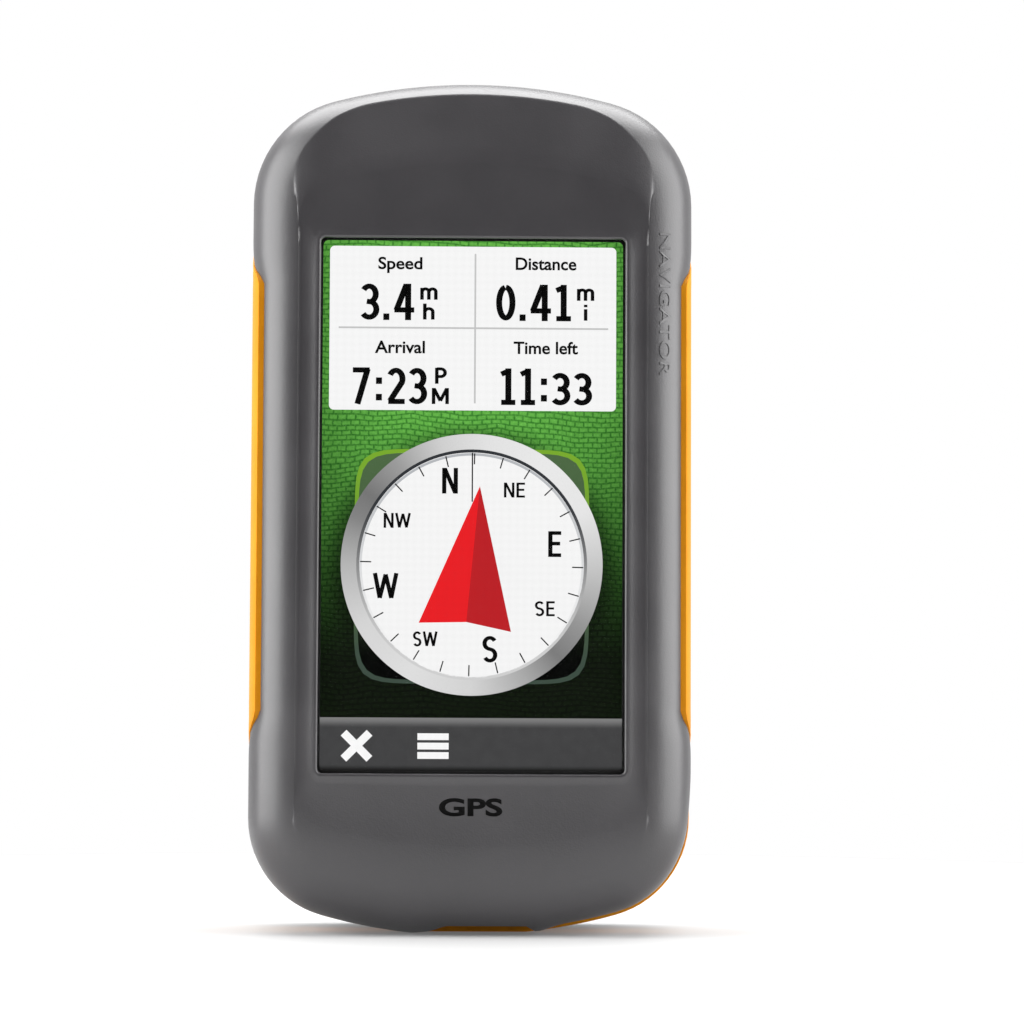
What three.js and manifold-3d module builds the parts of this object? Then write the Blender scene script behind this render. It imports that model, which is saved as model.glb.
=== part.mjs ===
// Portable GPS navigator, built as separate pieces. Millimetres, +Z up, screen facing -Y.
// The origin is the middle of the flat foot that the case stands on.
import * as THREE from 'three';
import { mergeVertices } from 'three/addons/utils/BufferGeometryUtils.js';
import Module from 'manifold-3d';

const wasm = await Module();
wasm.setup();

// ---- driving dimensions -------------------------------------------------------------
const WIDTH = 74.8;
const HEIGHT = 144.2;
const DEPTH = 36.4;
const WALL = 2.2;
const GAP = 0.3;              // between pieces that meet

const END_RADIUS = 93;        // the long shallow arcs across the top and the bottom
const TOP_CORNER = 18.5;
const BOTTOM_CORNER = 17;
const FOOT_RISE = 0.5;        // how much of the bottom arc is cut to a flat foot

const FRONT_RIM_IN = 5.4;     // how far the front rim rolls in
const REAR_RIM_IN = 7;
const RIM_DEPTH = 12;
const FACE_FALL = 1.6;        // the face falls back by this at the side ridges
const CREASE_SIDE = 8.7;
const CREASE_X = WIDTH / 2 - CREASE_SIDE;
const TOP_FALL = 4;           // the face falls back by this at the top edge
const TOP_BAND = 3;           // height of the sloping band over the top edge

const SPLIT_FRONT = -4;       // joint between front bezel and frame at the ends
const SPLIT_WAIST = -14.2;    // the same joint along the flanks
const SPLIT_REAR = 3.5;       // joint between frame and rear housing
const WAIST_LOW = 29.5;       // where the orange flank starts and ends
const WAIST_TOP_DROP = 27.5;
const WAIST_BLEND = 8;
const BOTTOM_WINDOW_LEFT = -9.7;
const BOTTOM_WINDOW_RIGHT = 11.5;
const BOTTOM_WINDOW_RISE = 1.5;
const LIP_RISE = 0.05;        // the frame's lip in that window clears the ground by this

const SCREEN_SIDE = 11.95;      // bezel on each side of the screen
const SCREEN_W = WIDTH - 2 * SCREEN_SIDE;
const SCREEN_H = 89.4;
const SCREEN_Z = 71.7;
const SCREEN_CORNER = 0.8;
const LIP_DEPTH = 0.85;       // bezel material in front of the glass
const GLASS_LAP = 2.3;        // the glass runs under the bezel by this
const GLASS_T = 1.1;
const GASKET_T = 0.3;
const LCD_T = 2.2;
const TRAY_T = 4.4;
const TRAY_WALL = 0.8;

const FLEX_T = 0.25;

const BOARD_Y = -1.6;
const BOARD_T = 1.2;
const BOARD_INSET = 5.6;
const CHASSIS_Y = -9;
const CHASSIS_DEPTH = 3.2;
const CHASSIS_PLATE = 1.4;

const SCREW_SIDE = 11.8;
const SCREW_X = WIDTH / 2 - SCREW_SIDE;
const SCREW_LOW_Z = 19;
const SCREW_TOP_DROP = 19.7;
const SCREW_R = 1.15;
const SCREW_HEAD_R = 1.9;
const SCREW_HEAD_T = 1.4;
const BOSS_R = 2.6;
const BOSS_HOLE_R = 1.45;

const CELLS_SIDE = 15.15;       // case on each side of the battery pack
const CELLS_W = WIDTH - 2 * CELLS_SIDE;
const CELLS_H = 60.4;
const CELLS_T = 13;
const CELLS_LOW_Z = 39;
const BAY_FIT = 0.5;
const BAY_WALL = 1.6;
const LEDGE_DEPTH = 3.2;      // the door's recess
const DOOR_MARGIN = 3.4;      // housing left beside the door recess, on its flat back
const DOOR_LOW_Z = 11.5;
const DOOR_CORNER = 8;
const DOOR_T = 2.2;
const SEAL_W = 1.2;

const LATCH_Z = 24.5;
const LATCH_R = 8.4;
const LATCH_T = 4;
const LATCH_DISH = 3;
const LATCH_FLOOR = 1.4;
const LATCH_BAR_T = 1.4;
const STEM_R = 1.9;
const RING_HALF_W = 6.4;
const RING_DROP = 7.8;
const RING_BAR = 1.4;
const PIN_R = 0.55;
const PIN_HOLE_R = 0.85;
const KNUCKLE_R = 1.25;

const KEY_ANGLE = 49 * Math.PI / 180;
const KEY_LENGTH = 6.6;
const KEY_WIDTH = 5.2;
const KEY_SINK = 0.33;        // the key's face is a flat cut this far below the corner's curve
const KEY_TRAVEL = 0.45;
const KEY_T = 1.7;
const KEY_FLANGE = 0.7;

const CARD_W = 11;
const CARD_L = 15;
const CARD_T = 0.8;
const CARD_Z = 74;
const CARD_TRAVEL = 5;

const IO_LOW_Z = 90;
const IO_LENGTH = 26;
const IO_FRONT_Y = 5.6;
const IO_BACK_Y = 12.4;
const IO_SINK = 2.6;
const PORT_CAP_X = 20;
const PORT_CAP_W = 10.8;
const PORT_CAP_H = 12.2;
const PORT_CAP_T = 1.9;
const BEAD_R = 0.7;

// ---- places worked out from them ----------------------------------------------------
const HALF_W = WIDTH / 2;
const FRONT = -DEPTH / 2;
const BACK = DEPTH / 2;
const topCentre = HEIGHT - END_RADIUS;
const bottomCentre = END_RADIUS - FOOT_RISE;
const topCornerX = HALF_W - TOP_CORNER;
const topCornerZ = topCentre + Math.sqrt((END_RADIUS - TOP_CORNER) ** 2 - topCornerX ** 2);
const bottomCornerX = HALF_W - BOTTOM_CORNER;
const bottomCornerZ = bottomCentre - Math.sqrt((END_RADIUS - BOTTOM_CORNER) ** 2 - bottomCornerX ** 2);
const glassFront = FRONT + LIP_DEPTH;
const gasketFront = glassFront + GLASS_T + 0.05;
const lcdFront = gasketFront + GASKET_T + 0.05;
const trayFront = lcdFront - 0.02;
const screwTopZ = HEIGHT - SCREW_TOP_DROP;
const boardBack = BOARD_Y + BOARD_T;
const doorHalfW = HALF_W - REAR_RIM_IN - GAP - (DOOR_MARGIN - WALL) - 0.6;
const bayHalfW = CELLS_W / 2 + BAY_FIT;
const bayLow = CELLS_LOW_Z - BAY_FIT;
const bayHigh = CELLS_LOW_Z + CELLS_H + BAY_FIT;
const doorHighZ = bayHigh + DOOR_MARGIN + 0.2;
const doorInside = BACK - DOOR_T;
const ledgeY = BACK - LEDGE_DEPTH;
const cellsBack = doorInside - BAY_FIT;
const bayFloor = cellsBack - CELLS_T - BAY_FIT;
const latchFront = BACK - 0.25 - LATCH_T;
const wellFloor = latchFront - GAP - LATCH_FLOOR;
const stemEnd = wellFloor - GAP - LATCH_BAR_T - 0.2;
const latchWellR = LATCH_R + 2.8;
const latchPocket = stemEnd - 0.6;
const dishFloor = latchFront + LATCH_T - LATCH_DISH;
const pinY = dishFloor + KNUCKLE_R + 0.3;
const pinZ = LATCH_Z + 2;
const keyFace = TOP_CORNER - KEY_SINK;
const ioHighZ = IO_LOW_Z + IO_LENGTH;
const portCapLow = doorHighZ + 2.6;
const portCapHigh = portCapLow + PORT_CAP_H;

// ---- building helpers ---------------------------------------------------------------
const alongY = new THREE.Matrix4().makeRotationX(Math.PI / 2);
const alongX = new THREE.Matrix4().makeBasis(
  new THREE.Vector3(0, 1, 0), new THREE.Vector3(0, 0, 1), new THREE.Vector3(1, 0, 0));

function solid(geometry) {
  const bare = geometry.clone();
  bare.deleteAttribute('normal');
  bare.deleteAttribute('uv');
  const merged = mergeVertices(bare.index ? bare.toNonIndexed() : bare, 1e-4);
  const vertProperties = new Float32Array(merged.attributes.position.array);
  const triVerts = new Uint32Array(merged.index.array);
  return new wasm.Manifold(new wasm.Mesh({ numProp: 3, vertProperties, triVerts }));
}

function geometryOf(body) {
  const mesh = body.getMesh();
  const geometry = new THREE.BufferGeometry();
  geometry.setAttribute('position', new THREE.BufferAttribute(mesh.vertProperties, mesh.numProp));
  geometry.setIndex(new THREE.BufferAttribute(mesh.triVerts, 1));
  geometry.computeVertexNormals();
  return geometry;
}

// a shape drawn in X and Z, given thickness from y0 to y1
function slab(shape, y0, y1, curveSegments = 6) {
  const geometry = new THREE.ExtrudeGeometry(shape, { depth: y1 - y0, bevelEnabled: false, curveSegments });
  return solid(geometry.applyMatrix4(alongY).translate(0, y1, 0));
}

// a shape drawn in Y and Z, given width from x0 to x1
function sideways(shape, x0, x1, curveSegments = 6) {
  const geometry = new THREE.ExtrudeGeometry(shape, { depth: x1 - x0, bevelEnabled: false, curveSegments });
  return solid(geometry.applyMatrix4(alongX).translate(x0, 0, 0));
}

// a shape drawn in X and Y, given height from z0 to z1
function upright(shape, z0, z1, curveSegments = 6) {
  const geometry = new THREE.ExtrudeGeometry(shape, { depth: z1 - z0, bevelEnabled: false, curveSegments });
  return solid(geometry.translate(0, 0, z0));
}

function block(x0, x1, y0, y1, z0, z1) {
  const geometry = new THREE.BoxGeometry(x1 - x0, y1 - y0, z1 - z0);
  return solid(geometry.translate((x0 + x1) / 2, (y0 + y1) / 2, (z0 + z1) / 2));
}

function rodY(x, z, radius, y0, y1, sides = 12) {
  const geometry = new THREE.CylinderGeometry(radius, radius, y1 - y0, sides);
  return solid(geometry.translate(x, (y0 + y1) / 2, z));
}

function rodX(y, z, radius, x0, x1, sides = 12) {
  const geometry = new THREE.CylinderGeometry(radius, radius, x1 - x0, sides);
  return solid(geometry.rotateZ(Math.PI / 2).translate((x0 + x1) / 2, y, z));
}

function rodZ(x, y, radius, z0, z1, sides = 12) {
  const geometry = new THREE.CylinderGeometry(radius, radius, z1 - z0, sides);
  return solid(geometry.rotateX(Math.PI / 2).translate(x, y, (z0 + z1) / 2));
}

function roundedRect(x0, x1, z0, z1, radius) {
  const shape = new THREE.Shape();
  shape.absarc(x1 - radius, z0 + radius, radius, -Math.PI / 2, 0);
  shape.absarc(x1 - radius, z1 - radius, radius, 0, Math.PI / 2);
  shape.absarc(x0 + radius, z1 - radius, radius, Math.PI / 2, Math.PI);
  shape.absarc(x0 + radius, z0 + radius, radius, Math.PI, Math.PI * 1.5);
  return shape;
}

function polygon(points) {
  const shape = new THREE.Shape();
  points.forEach(([u, v], i) => (i === 0 ? shape.moveTo(u, v) : shape.lineTo(u, v)));
  return shape;
}

// ---- the case's overall form --------------------------------------------------------
// The outline from the front, moved inwards by inset.
function caseOutline(inset) {
  const shape = new THREE.Shape();
  const lean = Math.atan2(topCornerZ - topCentre, topCornerX);
  const lowLean = Math.atan2(bottomCentre - bottomCornerZ, bottomCornerX);
  const big = END_RADIUS - inset;
  const foot = Math.acos((END_RADIUS - FOOT_RISE - inset) / big);
  const down = Math.PI * 1.5;
  shape.absarc(topCornerX, topCornerZ, TOP_CORNER - inset, 0, lean);
  shape.absarc(0, topCentre, big, lean, Math.PI - lean);
  shape.absarc(-topCornerX, topCornerZ, TOP_CORNER - inset, Math.PI - lean, Math.PI);
  shape.absarc(-bottomCornerX, bottomCornerZ, BOTTOM_CORNER - inset, Math.PI, Math.PI + lowLean);
  shape.absarc(0, bottomCentre, big, Math.PI + lowLean, down - foot);
  shape.absarc(0, bottomCentre, big, down + foot, 2 * Math.PI - lowLean);
  shape.absarc(bottomCornerX, bottomCornerZ, BOTTOM_CORNER - inset, -lowLean, 0);
  return shape;
}

// The outline given depth, with its far rim rolled in towards the face at tipY.
function rolledForm(inset, tipY, flatY, rimIn) {
  const towards = Math.sign(tipY - flatY);
  const bevel = Math.min(RIM_DEPTH, Math.abs(tipY - flatY) - 1);
  const length = Math.abs(tipY - flatY) - bevel;
  const geometry = new THREE.ExtrudeGeometry(caseOutline(inset), {
    depth: length, bevelThickness: bevel, bevelSize: rimIn, bevelOffset: -rimIn, bevelSegments: 3,
    curveSegments: 5,
  });
  geometry.applyMatrix4(alongY);
  geometry.translate(0, towards > 0 ? flatY + length : flatY, 0);
  const keep = block(-WIDTH, WIDTH, Math.min(tipY, flatY), Math.max(tipY, flatY), -1, HEIGHT + 1);
  return solid(geometry).intersect(keep);
}

// The face seen from above: flat between the creases, falling back to the side ridges.
function faceFromAbove(inset) {
  return polygon([
    [-CREASE_X, FRONT + inset], [CREASE_X, FRONT + inset],
    [HALF_W, FRONT + FACE_FALL * 1.5 + inset], [HALF_W, BACK], [-HALF_W, BACK],
    [-HALF_W, FRONT + FACE_FALL * 1.5 + inset],
  ]);
}

// The face seen from the side: a slow bow, with a sloping band over the top edge.
function faceFromSide(inset) {
  const edgeY = FRONT + TOP_FALL + inset;
  return polygon([
    [FRONT + inset, HEIGHT * 0.31], [FRONT + TOP_FALL * 0.2 + inset, HEIGHT * 0.13],
    [FRONT + TOP_FALL * 0.55 + inset, HEIGHT * 0.04], [edgeY, 1.4 + inset], [SPLIT_FRONT - 2, inset],
    [BACK, inset - 2], [BACK, HEIGHT + 2], [SPLIT_FRONT - 2, HEIGHT - inset],
    [edgeY, HEIGHT - TOP_BAND - inset], [FRONT + TOP_FALL * 0.6 + inset, HEIGHT * 0.94],
    [FRONT + TOP_FALL * 0.2 + inset, HEIGHT * 0.86], [FRONT + inset, HEIGHT * 0.7],
  ]);
}

function frontForm(inset, backY) {
  const rolled = rolledForm(inset, FRONT + inset, backY, FRONT_RIM_IN);
  const above = upright(faceFromAbove(inset), -1, HEIGHT + 1);
  const side = sideways(faceFromSide(inset), -WIDTH, WIDTH);
  return rolled.intersect(above).intersect(side);
}

function rearForm(inset) {
  return rolledForm(inset, BACK - inset, SPLIT_REAR + GAP, REAR_RIM_IN);
}

// Everything in front of the joint line, which sweeps forward along the flanks.
function aheadOfJoint(shift) {
  const shape = new THREE.Shape();
  const endY = SPLIT_FRONT + shift;
  const waistY = SPLIT_WAIST + shift;
  const high = HEIGHT - WAIST_TOP_DROP;
  const bend = WAIST_BLEND / 2;
  shape.moveTo(FRONT - 2, -2);
  shape.lineTo(endY, -2);
  shape.lineTo(endY, WAIST_LOW);
  shape.bezierCurveTo(endY, WAIST_LOW + bend, waistY, WAIST_LOW + bend, waistY, WAIST_LOW + WAIST_BLEND);
  shape.lineTo(waistY, high - WAIST_BLEND);
  shape.bezierCurveTo(waistY, high - bend, endY, high - bend, endY, high);
  shape.lineTo(endY, HEIGHT + 2);
  shape.lineTo(FRONT - 2, HEIGHT + 2);
  return sideways(shape, -WIDTH, WIDTH, 6);
}

function keyFrame(body) {
  const turned = body.rotate([0, 90 - KEY_ANGLE * 180 / Math.PI, 0]);
  return turned.translate([topCornerX, 0, topCornerZ]);
}

// ---- the pieces ---------------------------------------------------------------------
const frontSkin = frontForm(0, SPLIT_REAR);
const frontRoom = frontForm(WALL, SPLIT_REAR + 1);
const rearSkin = rearForm(0);
const rearRoom = rearForm(WALL);
const glassShape = (lap) => roundedRect(
  -SCREEN_W / 2 - lap, SCREEN_W / 2 + lap, SCREEN_Z - SCREEN_H / 2 - lap, SCREEN_Z + SCREEN_H / 2 + lap,
  SCREEN_CORNER + lap * 0.5);
const screwPlaces = [
  [-SCREW_X, SCREW_LOW_Z], [SCREW_X, SCREW_LOW_Z], [-SCREW_X, screwTopZ], [SCREW_X, screwTopZ],
];
const bottomWindow = block(
  BOTTOM_WINDOW_LEFT, BOTTOM_WINDOW_RIGHT, FRONT, SPLIT_FRONT + GAP, -1, BOTTOM_WINDOW_RISE + 0.3);

function frontBezel() {
  let body = frontSkin.intersect(aheadOfJoint(0)).subtract(frontRoom);
  body = body.subtract(bottomWindow);
  for (const [x, z] of screwPlaces) {
    const boss = rodY(x, z, BOSS_R, FRONT, SPLIT_REAR - 0.5);
    body = body.add(boss.intersect(frontSkin));
  }
  body = body.subtract(slab(glassShape(0), FRONT - 1, FRONT + 6));
  body = body.subtract(slab(glassShape(GLASS_LAP + 0.15), glassFront - 0.05, FRONT + 6));
  for (const [x, z] of screwPlaces) {
    body = body.subtract(rodY(x, z, BOSS_HOLE_R, FRONT + 7, BACK, 12));
  }
  return body;
}

function midFrame() {
  const behind = frontSkin.subtract(aheadOfJoint(GAP));
  let body = behind.subtract(frontRoom);
  body = body.intersect(block(-WIDTH, WIDTH, FRONT, SPLIT_REAR, -1, HEIGHT + 1));
  const facet = keyFrame(block(-7, 7, -30, 30, keyFace, keyFace + 6));
  const hole = keyFrame(block(
    -KEY_LENGTH / 2 - GAP, KEY_LENGTH / 2 + GAP, -KEY_WIDTH / 2 - GAP, KEY_WIDTH / 2 + GAP,
    keyFace - 8, keyFace + 6));
  body = body.subtract(facet).subtract(hole);
  const lip = block(
    BOTTOM_WINDOW_LEFT + GAP, BOTTOM_WINDOW_RIGHT - GAP, FRONT + TOP_FALL + 1.5, SPLIT_FRONT + 2, LIP_RISE,
    BOTTOM_WINDOW_RISE);
  return body.add(lip);
}

function powerKey() {
  const cap = block(
    -KEY_LENGTH / 2, KEY_LENGTH / 2, -KEY_WIDTH / 2, KEY_WIDTH / 2, keyFace - WALL - KEY_T, keyFace);
  const flangeTop = keyFace - WALL - GAP * 2;
  const flange = block(
    -KEY_LENGTH / 2 - KEY_FLANGE, KEY_LENGTH / 2 + KEY_FLANGE, -KEY_WIDTH / 2, KEY_WIDTH / 2,
    keyFace - WALL - KEY_T, flangeTop);
  return keyFrame(cap.add(flange));
}

function powerSwitch() {
  const top = keyFace - WALL - KEY_T - KEY_TRAVEL - 0.15;
  const can = block(-3, 3, boardBack + 0.05, boardBack + 3.2, top - 3.4, top - 0.6);
  const nub = block(-1, 1, boardBack + 0.6, boardBack + 2.4, top - 0.7, top);
  return keyFrame(can.add(nub));
}

function windowGasket() {
  const outer = slab(glassShape(GLASS_LAP), gasketFront, gasketFront + GASKET_T, 4);
  return outer.subtract(slab(glassShape(0.9), gasketFront - 1, gasketFront + 2, 4));
}

function lcdTray() {
  const lap = GLASS_LAP + 0.1;
  const tray = slab(glassShape(lap), trayFront, trayFront + TRAY_T, 4);
  return tray.subtract(slab(glassShape(lap - TRAY_WALL), trayFront - 1, lcdFront + LCD_T + 0.1, 4));
}

function displayFlex() {
  const front = trayFront + TRAY_T + 0.1;
  const back = BOARD_Y - 1.2;
  const low = SCREEN_Z - SCREEN_H / 2 - 3;
  const ribbon = block(-9, 9, front, front + FLEX_T, low, low + 16);
  const turn = block(-9, 9, front, back, low, low + FLEX_T);
  return ribbon.add(turn).add(block(-9, 9, back - FLEX_T, back, low, low + 9));
}

function innerChassis() {
  const half = SCREEN_W / 2;
  const low = SCREEN_Z - SCREEN_H / 2 + 6;
  const high = SCREEN_Z + SCREEN_H / 2;
  const tub = slab(roundedRect(-half, half, low, high, 4), CHASSIS_Y, CHASSIS_Y + CHASSIS_DEPTH, 4);
  const room = slab(
    roundedRect(-half + 1.6, half - 1.6, low + 1.6, high - 1.6, 3), CHASSIS_Y + CHASSIS_PLATE, BACK, 4);
  let body = tub.subtract(room);
  for (const z of [low + 12, high - 12]) {
    body = body.subtract(slab(roundedRect(-12, 12, z - 6, z + 6, 3), CHASSIS_Y - 1, CHASSIS_Y + 4, 4));
  }
  return body;
}

const boardScrewPlaces = [
  [-SCREEN_W / 2 + 0.9, SCREEN_Z - SCREEN_H * 0.3], [SCREEN_W / 2 - 0.9, SCREEN_Z + SCREEN_H * 0.27],
];

function mainBoard() {
  let board = slab(caseOutline(BOARD_INSET), BOARD_Y, boardBack, 6);
  board = board.intersect(block(-HALF_W + 7, HALF_W - 7, -20, 20, 12, HEIGHT - 9));
  for (const [x, z] of screwPlaces) {
    board = board.subtract(rodY(x, z, BOSS_R + 0.6, -20, 20));
  }
  const keyRoom = keyFrame(block(-6, 6, -4, 4, keyFace - WALL - KEY_T - KEY_TRAVEL - 1, keyFace));
  board = board.subtract(keyRoom);
  for (const [x, z] of boardScrewPlaces) {
    board = board.subtract(rodY(x, z, 1.2, -20, 20, 12));
  }
  return board;
}

function boardScrew(x, z) {
  const head = rodY(x, z, 1.7, boardBack + 0.05, boardBack + 0.8, 12);
  return head.add(rodY(x, z, 0.9, CHASSIS_Y + CHASSIS_DEPTH + 0.1, boardBack + 0.3, 12));
}

function antennaCradle() {
  const z = HEIGHT - 11;
  const y = boardBack + 6.2;
  const foot = block(-14, 14, boardBack + 0.05, boardBack + 1.05, z - 4, z + 3.4);
  const ends = block(-14, -12.4, boardBack + 0.5, y + 1.5, z - 4, z + 3.4)
    .add(block(12.4, 14, boardBack + 0.5, y + 1.5, z - 4, z + 3.4));
  return foot.add(ends).subtract(rodX(y, z, 2.3, -16, 16, 12));
}

function helixAntenna() {
  const z = HEIGHT - 11;
  const y = boardBack + 6.2;
  return rodX(y, z, 4.4, -12.1, 12.1, 20).add(rodX(y, z, 2, -15, 15, 12));
}

function rearHousing() {
  const frameMargin = 1.8;
  const frame = slab(
    roundedRect(-doorHalfW - frameMargin, doorHalfW + frameMargin, DOOR_LOW_Z - frameMargin,
      doorHighZ + frameMargin, DOOR_CORNER + frameMargin), ledgeY - 1.6, BACK);
  const tub = block(
    -bayHalfW - BAY_WALL, bayHalfW + BAY_WALL, bayFloor - 1.5, BACK, bayLow - BAY_WALL, bayHigh + BAY_WALL);
  const latchTub = rodY(0, LATCH_Z, latchWellR + 1.4, latchPocket - 1.4, BACK, 28);
  const ioWall = block(
    -HALF_W, -HALF_W + IO_SINK + 2, IO_FRONT_Y - 1.4, IO_BACK_Y + 2.6, IO_LOW_Z - 1.6, ioHighZ + 1.6);
  const portWall = block(
    PORT_CAP_X - PORT_CAP_W / 2 - 1.4, PORT_CAP_X + PORT_CAP_W / 2 + 1.4, BACK - PORT_CAP_T - 2, BACK,
    portCapLow - 1.4, portCapHigh + 2.6);
  const forward = block(-WIDTH, WIDTH, bayFloor - 3, SPLIT_REAR + GAP + 1, 0, HEIGHT);
  const envelope = rearSkin.add(forward.intersect(tub.add(latchTub)));
  let body = rearSkin.subtract(rearRoom);
  body = body.add(frame).add(tub).add(latchTub).add(ioWall).add(portWall);
  for (const [x, z] of screwPlaces) {
    body = body.add(rodY(x, z, BOSS_R + 0.4, SPLIT_REAR + GAP, BACK));
  }
  body = body.intersect(envelope);
  body = body.subtract(block(-bayHalfW, bayHalfW, bayFloor, BACK + 1, bayLow, bayHigh));
  body = body.subtract(rodY(0, LATCH_Z, latchWellR, latchPocket, BACK + 1, 28));
  body = body.subtract(slab(
    roundedRect(-doorHalfW - GAP, doorHalfW + GAP, DOOR_LOW_Z - GAP, doorHighZ + GAP, DOOR_CORNER + GAP),
    ledgeY, BACK + 1));
  for (const [x, z] of screwPlaces) {
    const seat = z < HEIGHT / 2 ? ledgeY : BACK;
    body = body.subtract(rodY(x, z, SCREW_R + 0.3, 0, BACK + 1, 12));
    body = body.subtract(rodY(x, z, SCREW_HEAD_R + 0.3, seat - SCREW_HEAD_T - 0.5, BACK + 1));
  }
  const cardWindow = block(
    -CARD_W / 2 - 2, CARD_W / 2 + 2, bayFloor - 3, bayFloor + 1, CARD_Z - CARD_L - CARD_TRAVEL, CARD_Z + 5);
  body = body.subtract(cardWindow).subtract(ioPocket()).subtract(portPocket());
  body = body.subtract(usbPort(0.25)).subtract(phonesPort(0.25)).subtract(antennaPort(0.25));
  body = body.subtract(slab(dockShape(GAP), BACK - 12, BACK + 1, 4));
  body = body.subtract(rodY(ventX, dockZ, 2.8, BACK - 1, BACK + 1));
  body = body.subtract(rodY(ventX, dockZ, 1, BACK - 5, BACK, 8));
  return body;
}

// The weather cap over the sockets, on the left flank, hinged along its rear edge.
const ioAxisX = -HALF_W + 1.5;
const ioAxisY = IO_BACK_Y + 0.6;
const ioInner = -HALF_W + IO_SINK;

function ioPocket() {
  const room = block(
    -HALF_W - 1, ioInner + GAP, IO_FRONT_Y - GAP, IO_BACK_Y + 0.4, IO_LOW_Z - GAP, ioHighZ + GAP);
  const groove = rodZ(ioAxisX, ioAxisY, BEAD_R + 0.4, IO_LOW_Z - GAP, ioHighZ + GAP);
  const trough = block(
    -HALF_W - 1, ioAxisX, IO_BACK_Y - 1, ioAxisY + BEAD_R + 0.4, IO_LOW_Z - GAP, ioHighZ + GAP);
  return room.add(groove).add(trough);
}

function ioCap() {
  const plate = rearSkin.intersect(block(-WIDTH, ioInner, IO_FRONT_Y, IO_BACK_Y, IO_LOW_Z, ioHighZ));
  const bead = rodZ(ioAxisX, ioAxisY, BEAD_R, IO_LOW_Z, ioHighZ);
  const neck = block(ioAxisX - 0.4, ioAxisX + 0.3, IO_BACK_Y - 0.4, ioAxisY, IO_LOW_Z, ioHighZ);
  return plate.add(neck).add(bead);
}

const portY = (IO_FRONT_Y + IO_BACK_Y) / 2 - 0.6;
const usbZ = IO_LOW_Z + 7;
const phonesZ = ioHighZ - 6.5;

function usbPort(loose) {
  const y0 = portY - 1.95 - loose;
  const y1 = portY + 1.95 + loose;
  return block(ioInner + GAP - 0.1, ioInner + 20, y0, y1, usbZ - 3.85 - loose, usbZ + 3.85 + loose);
}

function phonesPort(loose) {
  return rodX(portY, phonesZ, 3 + loose, ioInner + GAP - 0.1, ioInner + 20, 16);
}

function usbSocket() {
  const mouth = ioInner + GAP + 0.2;
  const shell = block(mouth, mouth + 7.4, portY - 1.95, portY + 1.95, usbZ - 3.85, usbZ + 3.85);
  const room = block(mouth - 1, mouth + 6, portY - 1.5, portY + 1.5, usbZ - 3.4, usbZ + 3.4);
  const tongue = block(mouth + 0.8, mouth + 6.5, portY - 0.35, portY + 0.35, usbZ - 2.6, usbZ + 2.6);
  return shell.subtract(room).add(tongue);
}

function headphoneJack() {
  const mouth = ioInner + GAP + 0.2;
  const barrel = rodX(portY, phonesZ, 3, mouth, mouth + 2.4, 16);
  const housing = block(mouth + 2.2, mouth + 9, portY - 2.6, portY + 2.6, phonesZ - 3.2, phonesZ + 3.2);
  return barrel.add(housing).subtract(rodX(portY, phonesZ, 1.8, mouth - 1, mouth + 8, 16));
}

function ioBoard() {
  const y = portY - 2.8;
  return block(ioInner + 3, ioInner + 9, y - 0.9, y, IO_LOW_Z, ioHighZ);
}

// The antenna socket's cap, on the back, hinged along its top edge.
const portAxisY = BACK - 0.75;
const portAxisZ = portCapHigh + 0.6;

function portPocket() {
  const x0 = PORT_CAP_X - PORT_CAP_W / 2 - GAP;
  const x1 = PORT_CAP_X + PORT_CAP_W / 2 + GAP;
  const room = block(x0, x1, BACK - PORT_CAP_T - GAP, BACK + 1, portCapLow - GAP, portAxisZ);
  const groove = rodX(portAxisY, portAxisZ, BEAD_R + 0.4, x0, x1);
  const trough = block(x0, x1, portAxisY, BACK + 1, portAxisZ - 1, portAxisZ + BEAD_R + 0.4);
  return room.add(groove).add(trough);
}

function antennaCap() {
  const x0 = PORT_CAP_X - PORT_CAP_W / 2;
  const x1 = PORT_CAP_X + PORT_CAP_W / 2;
  const plate = slab(roundedRect(x0, x1, portCapLow, portCapHigh, 1.5), BACK - PORT_CAP_T, BACK, 4);
  const neck = block(x0 + 1.5, x1 - 1.5, portAxisY - 0.3, portAxisY + 0.4, portCapHigh - 0.4, portAxisZ);
  return plate.add(neck).add(rodX(portAxisY, portAxisZ, BEAD_R, x0, x1));
}

const antennaPortZ = portCapLow + PORT_CAP_H / 2 - 0.5;

function antennaPort(loose) {
  return rodY(PORT_CAP_X, antennaPortZ, 2.6 + loose, BACK - 8, BACK - PORT_CAP_T);
}

function antennaSocket() {
  const mouth = BACK - PORT_CAP_T - GAP - 0.2;
  const shell = rodY(PORT_CAP_X, antennaPortZ, 2.6, mouth - 5, mouth);
  const room = rodY(PORT_CAP_X, antennaPortZ, 1.9, mouth - 4, mouth + 1);
  return shell.subtract(room).add(rodY(PORT_CAP_X, antennaPortZ, 0.45, mouth - 4.5, mouth - 0.6, 8));
}

const ventX = -20;
const dockZ = portCapLow + PORT_CAP_H / 2;
const dockShape = (loose) => roundedRect(
  -11 - loose, 11 + loose, dockZ - 3.6 - loose, dockZ + 3.6 + loose, 2);

function dockContacts() {
  let body = slab(dockShape(0), BACK - 4, BACK - 0.9, 4);
  for (const row of [-1, 1]) {
    for (const step of [-3, -1, 1, 3]) {
      body = body.add(rodY(step * 2.4, dockZ + row * 1.6, 0.8, BACK - 1.2, BACK - 0.7, 10));
    }
  }
  return body;
}

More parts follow.
